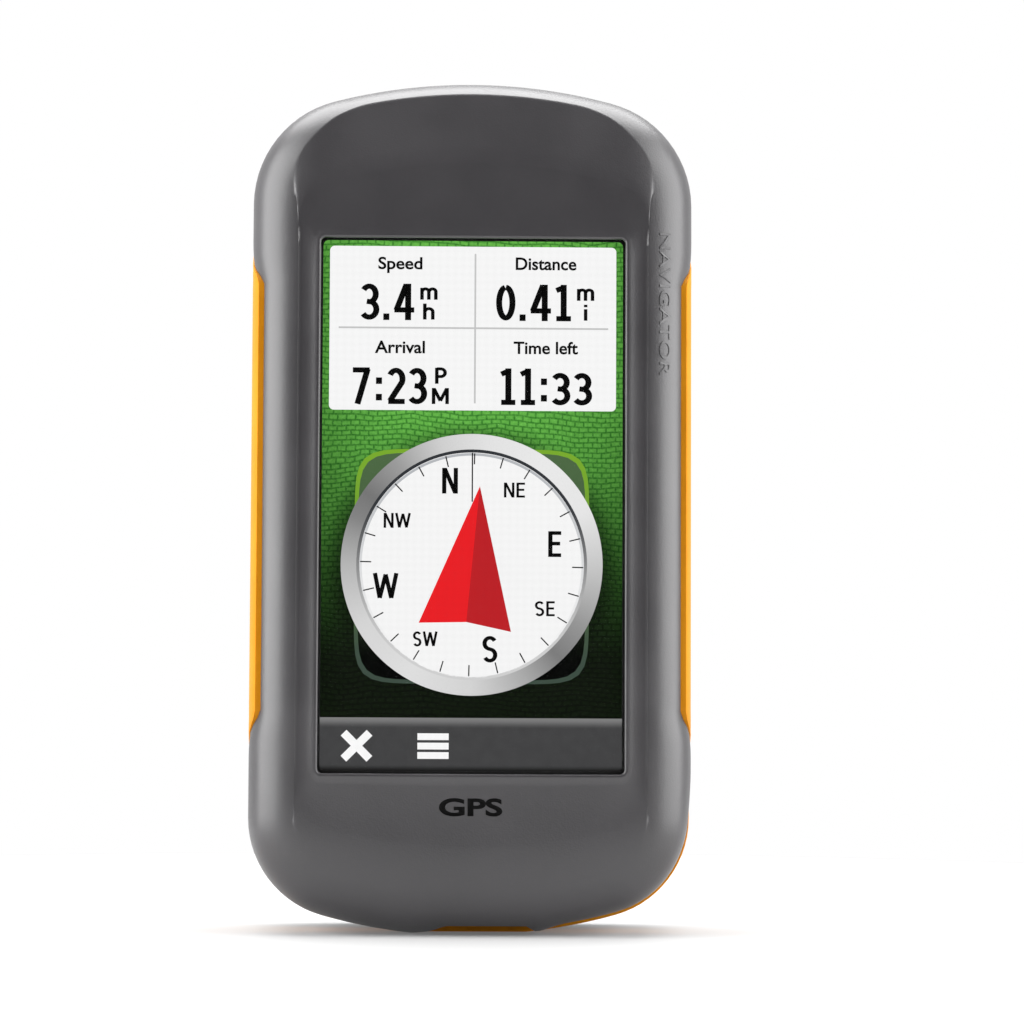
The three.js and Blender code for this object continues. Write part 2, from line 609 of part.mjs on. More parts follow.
function batteryDoor() {
  const plate = slab(
    roundedRect(-doorHalfW, doorHalfW, DOOR_LOW_Z, doorHighZ, DOOR_CORNER), doorInside, BACK);
  const hub = rodY(0, LATCH_Z, LATCH_R + 1.9, wellFloor, doorInside + 0.5, 28);
  let body = plate.add(hub);
  body = body.subtract(rodY(0, LATCH_Z, LATCH_R + GAP, wellFloor + LATCH_FLOOR, BACK + 1, 24));
  body = body.subtract(rodY(0, LATCH_Z, STEM_R + GAP, wellFloor - 1, BACK, 16));
  for (let i = 0; i < 5; i += 1) {
    const z = doorHighZ - 10 - i * 4;
    body = body.subtract(slab(roundedRect(-13, 13, z - 0.6, z + 0.6, 0.55), BACK - 0.5, BACK + 1, 3));
  }
  return body;
}

function doorSeal() {
  const mid = ledgeY + 0.05;
  const outer = roundedRect(
    -bayHalfW - 0.6 - SEAL_W, bayHalfW + 0.6 + SEAL_W, bayLow - 0.6 - SEAL_W, bayHigh + 0.6 + SEAL_W, 2);
  const inner = roundedRect(-bayHalfW - 0.6, bayHalfW + 0.6, bayLow - 0.6, bayHigh + 0.6, 0.9);
  return slab(outer, mid, doorInside - 0.05, 3).subtract(slab(inner, mid - 1, BACK, 3));
}

function latchCam() {
  let body = rodY(0, LATCH_Z, LATCH_R, latchFront, latchFront + LATCH_T, 32);
  body = body.add(rodY(0, LATCH_Z, STEM_R, stemEnd, latchFront + 0.5, 16));
  const half = RING_HALF_W + 0.35;
  const dish = slab(
    roundedRect(-half, half, pinZ - RING_DROP - 0.5, pinZ + KNUCKLE_R + 0.5, 2.2), dishFloor, BACK + 1, 5)
    .intersect(rodY(0, LATCH_Z, LATCH_R - 0.9, dishFloor, BACK + 1, 28));
  return body.subtract(dish).subtract(rodX(pinY, pinZ, PIN_HOLE_R, -RING_HALF_W - 1.4, RING_HALF_W + 1.4));
}

function ringShape(half, drop) {
  const shape = new THREE.Shape();
  shape.moveTo(-half, pinZ);
  shape.lineTo(-half, pinZ - drop + half * 0.9);
  shape.absellipse(0, pinZ - drop + half * 0.9, half, half * 0.9, Math.PI, 2 * Math.PI);
  shape.lineTo(half, pinZ);
  return shape;
}

function dRing() {
  const half = RING_HALF_W - 0.45;
  const y0 = pinY - RING_BAR / 2;
  const hoop = slab(ringShape(half, RING_DROP - 0.6), y0, y0 + RING_BAR, 10)
    .subtract(slab(ringShape(half - RING_BAR, RING_DROP - 0.6 - RING_BAR), y0 - 1, y0 + 3, 10));
  const gapBar = block(-half + RING_BAR, half - RING_BAR, y0 - 1, y0 + 3, pinZ - 0.5, pinZ + 2);
  let body = hoop.subtract(gapBar);
  for (const side of [-1, 1]) {
    const x0 = side < 0 ? -half : half - RING_BAR;
    body = body.add(rodX(pinY, pinZ, KNUCKLE_R, x0, x0 + RING_BAR, 14));
  }
  return body.subtract(rodX(pinY, pinZ, PIN_HOLE_R, -12, 12));
}

function latchBar() {
  const y0 = wellFloor - 0.2 - LATCH_BAR_T;
  const bar = slab(
    roundedRect(-latchWellR + 1, latchWellR - 1, LATCH_Z - 2.6, LATCH_Z + 2.6, 2.4), y0, y0 + LATCH_BAR_T, 4);
  return bar.subtract(rodY(0, LATCH_Z, STEM_R + 0.15, y0 - 1, BACK, 16));
}

function latchWasher() {
  const y0 = wellFloor + LATCH_FLOOR + 0.03;
  const disc = rodY(0, LATCH_Z, 4.4, y0, y0 + GAP - 0.06, 20);
  return disc.subtract(rodY(0, LATCH_Z, STEM_R + 0.2, y0 - 1, y0 + 2, 16));
}

function batteryPack() {
  const half = CELLS_W / 2;
  const r = CELLS_T / 2;
  const floor = cellsBack - CELLS_T;
  let body = block(-half + r, half - r, floor, cellsBack, CELLS_LOW_Z, CELLS_LOW_Z + CELLS_H);
  for (const side of [-1, 1]) {
    body = body.add(rodZ(side * (half - r), cellsBack - r, r, CELLS_LOW_Z, CELLS_LOW_Z + CELLS_H, 24));
  }
  return body.subtract(block(-9, 9, cellsBack - 5, cellsBack + 1, CELLS_LOW_Z + CELLS_H - 2.4, HEIGHT));
}

function batteryContacts() {
  const z = bayLow + 0.05;
  const y0 = bayFloor + 3;
  let body = block(-15, 15, y0 - 1.5, y0 + 2.6, bayLow - BAY_WALL - 1.4, bayLow - BAY_WALL - 0.1);
  for (const x of [-10, 0, 10]) {
    body = body.add(block(x - 1.5, x + 1.5, y0, y0 + 0.8, bayLow - BAY_WALL - 0.3, z + 0.3));
  }
  return body;
}

function contactSlots() {
  const y0 = bayFloor + 3;
  let slots = block(-11.8, -8.2, y0 - 0.3, y0 + 1.1, bayLow - BAY_WALL - 0.1, bayLow + 0.1);
  for (const x of [0, 10]) {
    slots = slots.add(block(x - 1.8, x + 1.8, y0 - 0.3, y0 + 1.1, bayLow - BAY_WALL - 0.1, bayLow + 0.1));
  }
  return slots;
}

function cardSocket() {
  const y0 = boardBack + 0.05;
  const shell = block(-CARD_W / 2 - 1, CARD_W / 2 + 1, y0, y0 + 1.9, CARD_Z - CARD_L + 3, CARD_Z + 1);
  return shell.subtract(block(-CARD_W / 2 - 0.3, CARD_W / 2 + 0.3, y0 + 0.4, y0 + 1.5, 0, CARD_Z + 0.3));
}

function memoryCard() {
  const y0 = boardBack + 0.05 + 0.55;
  const outline = polygon([
    [-CARD_W / 2, CARD_Z - CARD_L], [CARD_W / 2, CARD_Z - CARD_L], [CARD_W / 2, CARD_Z - 6],
    [CARD_W / 2 - 1.3, CARD_Z - 5], [CARD_W / 2 - 1.3, CARD_Z], [-CARD_W / 2, CARD_Z],
  ]);
  return slab(outline, y0, y0 + CARD_T);
}

function housingSeal() {
  const ring = slab(caseOutline(WALL + 0.3), SPLIT_REAR - 0.8, SPLIT_REAR + 0.6, 6);
  return ring.subtract(slab(caseOutline(WALL + 1.4), SPLIT_REAR - 2, SPLIT_REAR + 3, 6));
}

function caseScrew(x, z) {
  const seat = (z < HEIGHT / 2 ? ledgeY : BACK) - 0.4;
  const head = rodY(x, z, SCREW_HEAD_R, seat - SCREW_HEAD_T, seat);
  const shank = rodY(x, z, SCREW_R, SPLIT_FRONT - 3, seat - SCREW_HEAD_T + 0.3, 12);
  const socket = rodY(x, z, 0.9, seat - 0.8, BACK + 1, 6);
  return head.add(shank).subtract(socket);
}

function shieldCan(x0, x1, z0, z1, front) {
  const y0 = front ? BOARD_Y - 2.2 : boardBack + 0.05;
  const y1 = front ? BOARD_Y - 0.05 : boardBack + 1.6;
  return block(x0, x1, y0, y1, z0, z1);
}

// ---- the assembly -------------------------------------------------------------------
const plastic = (color, roughness = 0.6) => ({ color, roughness, metalness: 0 });
const metal = (color, roughness = 0.35) => ({ color, roughness, metalness: 1 });
const device = new THREE.Group();

function place(name, body, finish) {
  const mesh = new THREE.Mesh(geometryOf(body), new THREE.MeshStandardMaterial(finish));
  mesh.name = name;
  device.add(mesh);
}

const casing = plastic(0x59575a, 0.55);
const orange = plastic(0xf2a833, 0.6);
const rubber = plastic(0x1c1c1e, 0.85);
const pcb = plastic(0x17402a, 0.5);

place('front_bezel', frontBezel(), casing);
const glass = slab(glassShape(GLASS_LAP), glassFront, glassFront + GLASS_T, 4);
const panel = slab(glassShape(GLASS_LAP - TRAY_WALL - 0.1), lcdFront, lcdFront + LCD_T, 4);
place('display_window', glass, plastic(0x0a0b0c, 0.08));
place('window_gasket', windowGasket(), rubber);
place('lcd_panel', panel, plastic(0x2f6a2c, 0.3));
place('lcd_tray', lcdTray(), metal(0xb8babd));
place('display_flex', displayFlex(), plastic(0xb0702c, 0.45));
place('inner_chassis', innerChassis(), metal(0x8e9194, 0.5));
place('main_board', mainBoard(), pcb);
place('processor_shield', shieldCan(-20, 6, 76, 102, true), metal(0xbfc1c2));
place('receiver_shield', shieldCan(-16, 12, HEIGHT - 32, HEIGHT - 18, true), metal(0xbfc1c2));
place('power_shield', shieldCan(8, 24, 44, 62, true), metal(0xbfc1c2));
place('display_connector', block(-10, 10, BOARD_Y - 1.1, BOARD_Y - 0.05, 31, 34), plastic(0xd8d2c4));
place('beeper', rodY(-14, 56, 6, BOARD_Y - 2, BOARD_Y - 0.05, 20), plastic(0x202022));
place('backup_cell', rodY(14, 82, 4.8, BOARD_Y - 2.1, BOARD_Y - 0.05, 20), metal(0xc9cacb));
place('compass_sensor', shieldCan(15, 19, HEIGHT - 30, HEIGHT - 26, true), plastic(0x151516));
place('pressure_sensor', rodY(-22, HEIGHT - 24, 1.8, BOARD_Y - 1.5, BOARD_Y - 0.05, 12), metal(0xc9cacb));
place('antenna_cradle', antennaCradle(), plastic(0x2a2a2c));
place('helix_antenna', helixAntenna(), plastic(0xd9d4c6, 0.4));
boardScrewPlaces.forEach(([x, z], i) => place(`board_screw_${i + 1}`, boardScrew(x, z), metal(0x9a9b9d)));
place('mid_frame', midFrame(), orange);
place('housing_seal', housingSeal(), rubber);
place('power_key', powerKey(), casing);
place('power_switch', powerSwitch(), metal(0xaaacae));
place('rear_housing', rearHousing().subtract(contactSlots()), casing);
place('dock_contacts', dockContacts(), plastic(0x151516, 0.5));
place('pressure_vent', rodY(ventX, dockZ, 2.5, BACK - 0.9, BACK - 0.5), plastic(0xa9abad, 0.9));
place('io_board', ioBoard(), pcb);
place('usb_socket', usbSocket(), metal(0xb8babd));
place('headphone_jack', headphoneJack(), plastic(0x1a1a1b));
place('io_cap', ioCap(), rubber);
place('antenna_socket', antennaSocket(), metal(0xc9a64a));
place('antenna_cap', antennaCap(), rubber);
place('card_socket', cardSocket(), metal(0xb8babd));
place('memory_card', memoryCard(), plastic(0x121213, 0.4));
place('rating_label', block(-16, 16, bayFloor + 0.03, bayFloor + 0.2, 82, 96), plastic(0xc8c9ca, 0.5));
place('battery_contacts', batteryContacts(), metal(0xd0a85a));
place('battery_pack', batteryPack(), plastic(0x232427, 0.5));
place('door_seal', doorSeal(), rubber);
place('battery_door', batteryDoor(), casing);
place('latch_cam', latchCam(), plastic(0x2b2b2d, 0.5));
place('latch_washer', latchWasher(), rubber);
place('latch_bar', latchBar(), metal(0xb0b2b4));
place('d_ring', dRing(), metal(0xc4c6c8, 0.25));
place('d_ring_pin', rodX(pinY, pinZ, PIN_R, -RING_HALF_W - 1.1, RING_HALF_W + 1.1), metal(0xa8aaac));
screwPlaces.forEach(([x, z], i) => place(`case_screw_${i + 1}`, caseScrew(x, z), metal(0x8a8b8d)));

export default device;
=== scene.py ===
import math

import bmesh
import bpy
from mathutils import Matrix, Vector
from mathutils.bvhtree import BVHTree


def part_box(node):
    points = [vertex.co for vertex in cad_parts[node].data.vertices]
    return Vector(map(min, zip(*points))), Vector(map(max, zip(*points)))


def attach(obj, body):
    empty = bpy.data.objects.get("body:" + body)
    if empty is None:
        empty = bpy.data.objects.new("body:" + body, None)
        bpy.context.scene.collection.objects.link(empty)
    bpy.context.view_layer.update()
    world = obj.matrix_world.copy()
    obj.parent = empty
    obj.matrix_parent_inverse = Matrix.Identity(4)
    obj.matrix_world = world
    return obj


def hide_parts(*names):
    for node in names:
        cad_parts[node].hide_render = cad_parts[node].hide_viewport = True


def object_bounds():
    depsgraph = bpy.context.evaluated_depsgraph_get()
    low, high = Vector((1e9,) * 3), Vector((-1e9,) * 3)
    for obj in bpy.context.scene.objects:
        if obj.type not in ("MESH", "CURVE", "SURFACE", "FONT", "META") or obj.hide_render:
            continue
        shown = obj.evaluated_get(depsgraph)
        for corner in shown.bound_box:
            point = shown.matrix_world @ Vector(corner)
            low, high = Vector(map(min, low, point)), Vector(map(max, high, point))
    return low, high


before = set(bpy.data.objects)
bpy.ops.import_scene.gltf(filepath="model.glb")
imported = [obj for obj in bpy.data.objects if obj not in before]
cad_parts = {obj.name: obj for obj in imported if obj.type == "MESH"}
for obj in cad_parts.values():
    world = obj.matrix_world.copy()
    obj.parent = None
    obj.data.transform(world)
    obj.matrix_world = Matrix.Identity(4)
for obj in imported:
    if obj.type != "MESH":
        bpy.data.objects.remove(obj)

cad_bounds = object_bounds()

# ---- camera and studio light ----------------------------------------------------------
# The case is seen from the front, a little from below and from its left. Broad soft lights
# stand beside and over it, and the white surround is dim in front of it and bright behind.
MM = 0.001
scene = bpy.context.scene
case_low, case_high = Vector(cad_bounds[0]), Vector(cad_bounds[1])
HEIGHT = case_high.z
HALF_W = case_high.x
FRONT = case_low.y
glass_low, glass_high = (Vector(corner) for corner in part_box("display_window"))
LCD_LOW = Vector(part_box("lcd_panel")[0])
GLASS_LAP = 2.3 * MM
SCREEN_HALF_W = glass_high.x - GLASS_LAP
SCREEN_LOW = glass_low.z + GLASS_LAP
SCREEN_HIGH = glass_high.z - GLASS_LAP
SCREEN_MID = (SCREEN_LOW + SCREEN_HIGH) / 2

camera_data = bpy.data.cameras.new("camera")
camera_data.lens = 112.1
camera_data.sensor_width = 36
camera_data.shift_x, camera_data.shift_y = 0.0388, -0.0073
camera_data.clip_start = 0.01
camera = bpy.data.objects.new("camera", camera_data)
scene.collection.objects.link(camera)
scene.camera = camera
aim = Vector((0, FRONT, SCREEN_MID))
REACH = 0.5305
side_angle = math.radians(-1.0)
low_angle = math.radians(-3.4)
tilt_angle = math.radians(0.3)
away = Vector((math.sin(side_angle) * math.cos(low_angle),
               -math.cos(side_angle) * math.cos(low_angle), math.sin(low_angle)))
camera.location = aim + away * REACH
camera.rotation_euler = (-away).to_track_quat("-Z", "Y").to_euler()
camera.rotation_euler.rotate_axis("Z", tilt_angle)
scene.view_settings.view_transform = "Standard"


def finished_object(name, bm):
    """Turns a bmesh into an object at the origin, with its place in its mesh."""
    mesh = bpy.data.meshes.new(name)
    bm.to_mesh(mesh)
    bm.free()
    piece = bpy.data.objects.new(name, mesh)
    scene.collection.objects.link(piece)
    return piece


def softbox(name, place, target, size, power):
    """A broad rectangular light at a place, turned to face a target."""
    light = bpy.data.lights.new(name, "AREA")
    light.shape = "RECTANGLE"
    light.size, light.size_y = size
    light.energy = power
    lamp = bpy.data.objects.new(name, light)
    scene.collection.objects.link(lamp)
    lamp.location = place
    lamp.rotation_euler = (Vector(target) - Vector(place)).to_track_quat("-Z", "Y").to_euler()


CASE_MIDDLE = (0, -0.01, 0.08)
SIDE_SIZE = (0.66, 1.0)
softbox("left_softbox", (-0.60, -0.16, 0.16), CASE_MIDDLE, SIDE_SIZE, 9.5)
softbox("right_softbox", (0.60, -0.16, 0.16), CASE_MIDDLE, SIDE_SIZE, 8.4)
softbox("top_softbox", (0, 0.16, 0.72), (0, 0, 0.10), (0.9, 0.6), 9)

world = bpy.data.worlds.new("studio")
scene.world = world
world.use_nodes = True
sky = world.node_tree
backdrop = sky.nodes["Background"]
seen = sky.nodes.new("ShaderNodeLightPath")
heading = sky.nodes.new("ShaderNodeTexCoord")
parts = sky.nodes.new("ShaderNodeSeparateXYZ")
spread = sky.nodes.new("ShaderNodeMapRange")
spread.interpolation_type = "SMOOTHSTEP"
for socket, value in (("From Min", -0.7), ("From Max", 0.6), ("To Min", 0.15), ("To Max", 0.9)):
    spread.inputs[socket].default_value = value
level = sky.nodes.new("ShaderNodeMath")
level.operation = "MAXIMUM"
sky.links.new(heading.outputs["Generated"], parts.inputs[0])
sky.links.new(parts.outputs["Y"], spread.inputs[0])
sky.links.new(spread.outputs[0], level.inputs[0])
sky.links.new(seen.outputs["Is Camera Ray"], level.inputs[1])
sky.links.new(level.outputs[0], backdrop.inputs["Strength"])
backdrop.inputs["Color"].default_value = (1, 1, 1, 1)

# ---- finishes -------------------------------------------------------------------------
# Plastics, rubber, metals and boards, each varied by procedural noise. Shader sums are
# written as plain expressions: Link is one shader socket, and Finish is a material.


def linear(hex_colour):
    """A colour as the eye names it, turned into the light values that the shader uses."""
    channels = [int(hex_colour[i:i + 2], 16) / 255 for i in (0, 2, 4)]
    light = [c / 12.92 if c <= 0.04045 else ((c + 0.055) / 1.055) ** 2.4 for c in channels]
    return (*light, 1.0)


class Link:
    """One output of a shader node, which can be added, multiplied and compared."""

    def __init__(self, finish, socket):
        self.finish = finish
        self.socket = socket

    def sum_with(self, operation, first, second=None):
        inputs = {0: first} if second is None else {0: first, 1: second}
        return self.finish.node("ShaderNodeMath", {"operation": operation}, inputs)

    def __add__(self, other):
        return self.sum_with("ADD", self, other)

    __radd__ = __add__

    def __sub__(self, other):
        return self.sum_with("SUBTRACT", self, other)

    def __rsub__(self, other):
        return self.sum_with("SUBTRACT", other, self)

    def __mul__(self, other):
        return self.sum_with("MULTIPLY", self, other)

    __rmul__ = __mul__

    def __truediv__(self, other):
        return self.sum_with("DIVIDE", self, other)

    def __pow__(self, other):
        return self.sum_with("POWER", self, other)

    def size(self):
        return self.sum_with("ABSOLUTE", self)

    def larger(self, other):
        return self.sum_with("MAXIMUM", self, other)

    def above(self, other):
        return self.sum_with("GREATER_THAN", self, other)

    def below(self, other):
        return self.sum_with("LESS_THAN", self, other)

    def fraction(self):
        return self.sum_with("FRACT", self)

    def wave(self):
        return self.sum_with("SINE", self)

    def fade(self, start, end):
        """Rises smoothly from 0 at start to 1 at end."""
        return self.finish.node("ShaderNodeMapRange", {"interpolation_type": "SMOOTHSTEP"},
                                {0: self, 1: start, 2: end, 3: 0.0, 4: 1.0})


class Finish:
    """A material: one main shader, its constants, and the nodes that vary it."""

    def __init__(self, name, constants):
        self.material = bpy.data.materials.new(name)
        self.material.use_nodes = True
        self.tree = self.material.node_tree
        self.shader = self.tree.nodes["Principled BSDF"]
        for socket, value in constants.items():
            self.shader.inputs[socket].default_value = value
        self.place = self.node("ShaderNodeTexCoord", {}, {}, "Object")
        self.x = self.node("ShaderNodeSeparateXYZ", {}, {0: self.place}, "X")
        self.z = Link(self, self.x.socket.node.outputs["Z"])

    def node(self, kind, settings, inputs, output=0):
        made = self.tree.nodes.new(kind)
        for key, value in settings.items():
            if key == "stops":
                ramp = made.color_ramp
                for spot, colour in value[1:-1]:
                    ramp.elements.new(spot).color = colour
                ramp.elements[0].position, ramp.elements[0].color = value[0]
                ramp.elements[-1].position, ramp.elements[-1].color = value[-1]
            else:
                setattr(made, key, value)
        for socket, value in inputs.items():
            if isinstance(value, Link):
                self.tree.links.new(value.socket, made.inputs[socket])
            else:
                made.inputs[socket].default_value = value
        return Link(self, made.outputs[output])

    def noise(self, grain, detail=3.0, place=None):
        """Soft noise whose lumps are about grain metres across."""
        return self.node("ShaderNodeTexNoise", {}, {"Vector": place or self.place, "Scale": 1 / grain,
                                                    "Detail": detail})

    def blend(self, amount, low, high):
        return self.node("ShaderNodeMix", {"data_type": "RGBA"}, {0: amount, 6: low, 7: high}, 2)

    def vector(self, x, y, z):
        return self.node("ShaderNodeCombineXYZ", {}, {0: x, 1: y, 2: z})

    def feed(self, socket, link):
        self.tree.links.new(link.socket, self.shader.inputs[socket])

    def relief(self, height, depth):
        """Bumps that stand depth metres high where height is 1."""
        self.feed("Normal", self.node("ShaderNodeBump", {}, {"Height": height, "Strength": 1.0,
                                                             "Distance": depth}, "Normal"))


def moulded(name, dark, light, roughness, grain=0.28 * MM, depth=0.02 * MM, specular=0.5):
    """Moulded plastic or rubber: a fine spark-eroded texture with faint handling marks."""
    finish = Finish(name, {"Specular IOR Level": specular})
    texture = finish.noise(grain, 2.0)
    clouds = finish.noise(14 * MM, 3.0)
    specks = finish.noise(0.9 * MM, 2.0)
    mottle = clouds.fade(0.35, 0.68) * 0.7 + specks.fade(0.5, 0.75) * 0.3
    finish.feed("Base Color", finish.blend(mottle, dark, light))
    finish.feed("Roughness", roughness + (clouds - 0.5) * 0.12 + (texture - 0.5) * 0.1)
    finish.relief(texture + specks * 0.5, depth)
    return finish.material


def metal(name, dark, light, roughness, stretch=(1, 1, 12)):
    """Rolled or turned metal with fine scratches along one way."""
    finish = Finish(name, {"Metallic": 1.0})
    drawn = finish.node("ShaderNodeMapping", {}, {0: finish.place, 3: stretch})
    lines = finish.noise(0.25 * MM, 2.0, drawn)
    stain = finish.noise(5 * MM, 3.0)
    finish.feed("Base Color", finish.blend(stain.fade(0.3, 0.7), dark, light))
    finish.feed("Roughness", roughness + (lines - 0.5) * 0.25 + (stain - 0.5) * 0.1)
    finish.relief(lines, 0.006 * MM)
    return finish.material


casing_finish = moulded("casing_grey", linear("2f2d30"), linear("353336"), 0.38, specular=1.0)
rear_finish = moulded("rear_grey", linear("323033"), linear("373538"), 0.48,
                      grain=0.35 * MM, depth=0.03 * MM)
orange_finish = moulded("frame_orange", linear("d0840f"), linear("d88e17"), 0.5, specular=0.1)
rubber_finish = moulded("black_rubber", linear("1b1b1c"), linear("262627"), 0.72,
                        grain=0.4 * MM, depth=0.03 * MM)
dark_finish = moulded("dark_plastic", linear("202123"), linear("2b2c2e"), 0.5)
white_finish = moulded("pale_plastic", linear("cfc9bb"), linear("e0dbcf"), 0.4)
steel_finish = metal("sheet_steel", linear("a9abad"), linear("c9cbcc"), 0.32)
screw_finish = metal("screw_steel", linear("77787a"), linear("9a9b9d"), 0.34, (1, 14, 1))
alloy_finish = metal("cast_alloy", linear("8f9294"), linear("a5a8aa"), 0.5, (1, 1, 1))
brass_finish = metal("gold_plate", linear("c79a45"), linear("dcb45f"), 0.28)


def board_finish():
    """Green solder mask with buried tracks and rows of small plated holes."""
    finish = Finish("solder_mask", {"Coat Weight": 0.4, "Coat Roughness": 0.15})
    across = ((finish.x / (1.27 * MM)).fraction() - 0.5).size()
    along = ((finish.z / (2.54 * MM)).fraction() - 0.5).size()
    patches = finish.noise(6 * MM, 1.0).above(0.52)
    track = across.above(0.36) * patches
    pad = across.larger(along).below(0.16)
    plated = pad * (1 - patches)
    green = finish.blend(track, linear("0f3a22"), linear("1c5a37"))
    finish.feed("Base Color", finish.blend(plated, green, linear("c9a254")))
    finish.feed("Metallic", plated)
    finish.feed("Roughness", 0.38 - plated * 0.1)
    finish.relief(track + plated, 0.02 * MM)
    return finish.material


def film_finish():
    """Amber film with copper conductors running its length."""
    finish = Finish("amber_film", {"Coat Weight": 0.6})
    copper = ((finish.x / (0.5 * MM)).fraction() - 0.5).size().above(0.22)
    finish.feed("Base Color", finish.blend(copper, linear("a8641e"), linear("d48b3a")))
    finish.feed("Roughness", 0.3 + finish.noise(3 * MM) * 0.1)
    finish.relief(copper, 0.02 * MM)
    return finish.material


pcb_finish = board_finish()
flex_finish = film_finish()

# ---- floor ----------------------------------------------------------------------------
# A round pale sheet that the case stands on, matt and faintly self-lit so that it stays
# near white under the case.
disc = bmesh.new()
bmesh.ops.create_circle(disc, cap_ends=True, radius=0.26, segments=96)
floor = finished_object("floor", disc)
floor_finish = Finish("pale_floor", {"Roughness": 0.9, "Specular IOR Level": 0.1,
                                     "Emission Color": (1, 1, 1, 1), "Emission Strength": 0.12})
floor_finish.feed("Base Color", floor_finish.blend(floor_finish.noise(50 * MM), (0.5, 0.5, 0.5, 1),
                                                   (0.52, 0.52, 0.52, 1)))
floor.data.materials.append(floor_finish.material)

# ---- the case's outline ---------------------------------------------------------------
# Every shell follows one outline: long shallow arcs across both ends, large corners and
# straight flanks. A ring is that outline moved inwards, laid at a depth that may vary.
END_RADIUS = 93 * MM
TOP_CORNER = 18.5 * MM
BOTTOM_CORNER = 17 * MM
FOOT_RISE = 0.5 * MM
WALL = 2.2 * MM
RIM_IN = 5.4 * MM
RIM_DEPTH = 12 * MM
END_STEPS = 34
CORNER_STEPS = 14
SIDE_STEPS = 80


def half_ring(half_w, low, high, low_radius, high_radius, low_corner, high_corner):
    """Points up the right side, from the bottom middle to the top middle."""
    def end(apex, radius, corner, sign):
        centre = apex - sign * radius
        corner_x = half_w - corner
        rise = math.sqrt((radius - corner) ** 2 - corner_x ** 2)
        corner_z = centre + sign * rise
        lean = math.atan2(rise, corner_x)
        arc = [(radius * math.cos(a), centre + sign * radius * math.sin(a))
               for a in (math.pi / 2 + (lean - math.pi / 2) * i / END_STEPS for i in range(END_STEPS))]
        bend = [(corner_x + corner * math.cos(a), corner_z + sign * corner * math.sin(a))
                for a in (lean * (1 - i / CORNER_STEPS) for i in range(CORNER_STEPS + 1))]
        return arc + bend
    bottom = end(low, low_radius, low_corner, -1)
    top = end(high, high_radius, high_corner, 1)
    z0, z1 = bottom[-1][1], top[-1][1]
    side = [(half_w, z0 + (z1 - z0) * i / SIDE_STEPS) for i in range(1, SIDE_STEPS)]
    return bottom + side + top[::-1]


def whole_ring(half):
    return half + [(-x, z) for x, z in half[-2:0:-1]]


def case_points(inset):
    """The case's outline moved inwards, with the flat foot cut across its bottom."""
    half = half_ring(HALF_W - inset, inset - FOOT_RISE, HEIGHT - inset, END_RADIUS - inset,
                     END_RADIUS - inset, BOTTOM_CORNER - inset, TOP_CORNER - inset)
    return whole_ring([(x, max(z, inset)) for x, z in half])


OUTLINE = case_points(0)


def smooth(value):
    """Rises from 0 to 1 with no kinks while its value does."""
    t = min(max(value, 0), 1)
    return t * t * (3 - 2 * t)


def mixed(a, b, t):
    return a + (b - a) * t


def add_ring(bm, points):
    verts = [bm.verts.new(p) for p in points]
    return [bm.edges.new((verts[i - 1], verts[i])) for i in range(len(verts))]


def loft(name, rings):
    """Draws one skin through a row of rings and back to the first of them."""
    bm = bmesh.new()
    edges = add_ring(bm, rings[0])
    verts = list(bm.verts)
    for points in rings[1:] + rings[:1]:
        drawn = bmesh.ops.extrude_edge_only(bm, edges=edges)["geom"]
        fresh = {item for item in drawn if isinstance(item, bmesh.types.BMVert)}
        twins = []
        for vert, place in zip(verts, points):
            twin = next(e.other_vert(vert) for e in vert.link_edges if e.other_vert(vert) in fresh)
            twin.co = place
            twins.append(twin)
        edges = list({e for twin in twins for e in twin.link_edges if e.other_vert(twin) in fresh})
        verts = twins
    bmesh.ops.remove_doubles(bm, verts=bm.verts, dist=1e-6)
    bmesh.ops.recalc_face_normals(bm, faces=bm.faces)
    return finished_object(name, bm)


def soften(piece, width, angle=32):
    """Smooth shading with crisp edges kept, and a small radius on those edges."""
    for polygon in piece.data.polygons:
        polygon.use_smooth = True
    piece.data.set_sharp_from_angle(angle=math.radians(angle))
    if width:
        bevel = piece.modifiers.new("edge_radius", "BEVEL")
        bevel.width = width
        bevel.segments = 2
        bevel.limit_method = "ANGLE"
        bevel.angle_limit = math.radians(angle)
        bevel.harden_normals = True


def fit(piece, body, slot, finish, *nodes):
    """Gives a piece its finish and fixes it to its body in place of its nodes; its slot is not used."""
    piece.data.materials.clear()
    piece.data.materials.append(finish)
    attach(piece, body)
    if nodes:
        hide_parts(*nodes)
    return piece


def roll(y):
    """How far the case's rim has rolled in at depth y."""
    flat = RIM_DEPTH / 2 + 0.2 * MM
    past = min(max((abs(y) - flat) / RIM_DEPTH, 0), 1)
    return RIM_IN * (1 - math.sqrt(1 - past * past))


# ---- front bezel ----------------------------------------------------------------------
# The front shell, injection moulded in grey plastic. Its flanks sweep forward to show the
# orange frame, a crisp ridge runs round the face, and a terrace and a lip frame the glass.
SPLIT_END = -4 * MM
SPLIT_WAIST = -14.2 * MM
SPLIT_REAR = 3.5 * MM
GAP = 0.3 * MM
WAIST_LOW = 29.5 * MM
WAIST_HIGH = HEIGHT - 27.5 * MM
WAIST_BLEND = 8 * MM
RIDGE_IN = 3 * MM
SHOULDER_IN = 8.1 * MM
FLANK_Y = -6.2 * MM
SHOULDER_Y = FRONT + 0.5 * MM
RIDGE_TOP_Y = FRONT + 3.2 * MM
RIDGE_LOW_Y = FRONT + 0.9 * MM
CREASE_Y = FRONT + 0.42 * MM
SLOT_LEFT = -9.7 * MM
SLOT_RIGHT = 11.5 * MM
SLOT_Y = -13 * MM
SLOT_SHOW = 0.3 * MM
SIDE_TURN, TOP_TURN = 80, 42          # degrees that the flank turns by, at the sides and the top
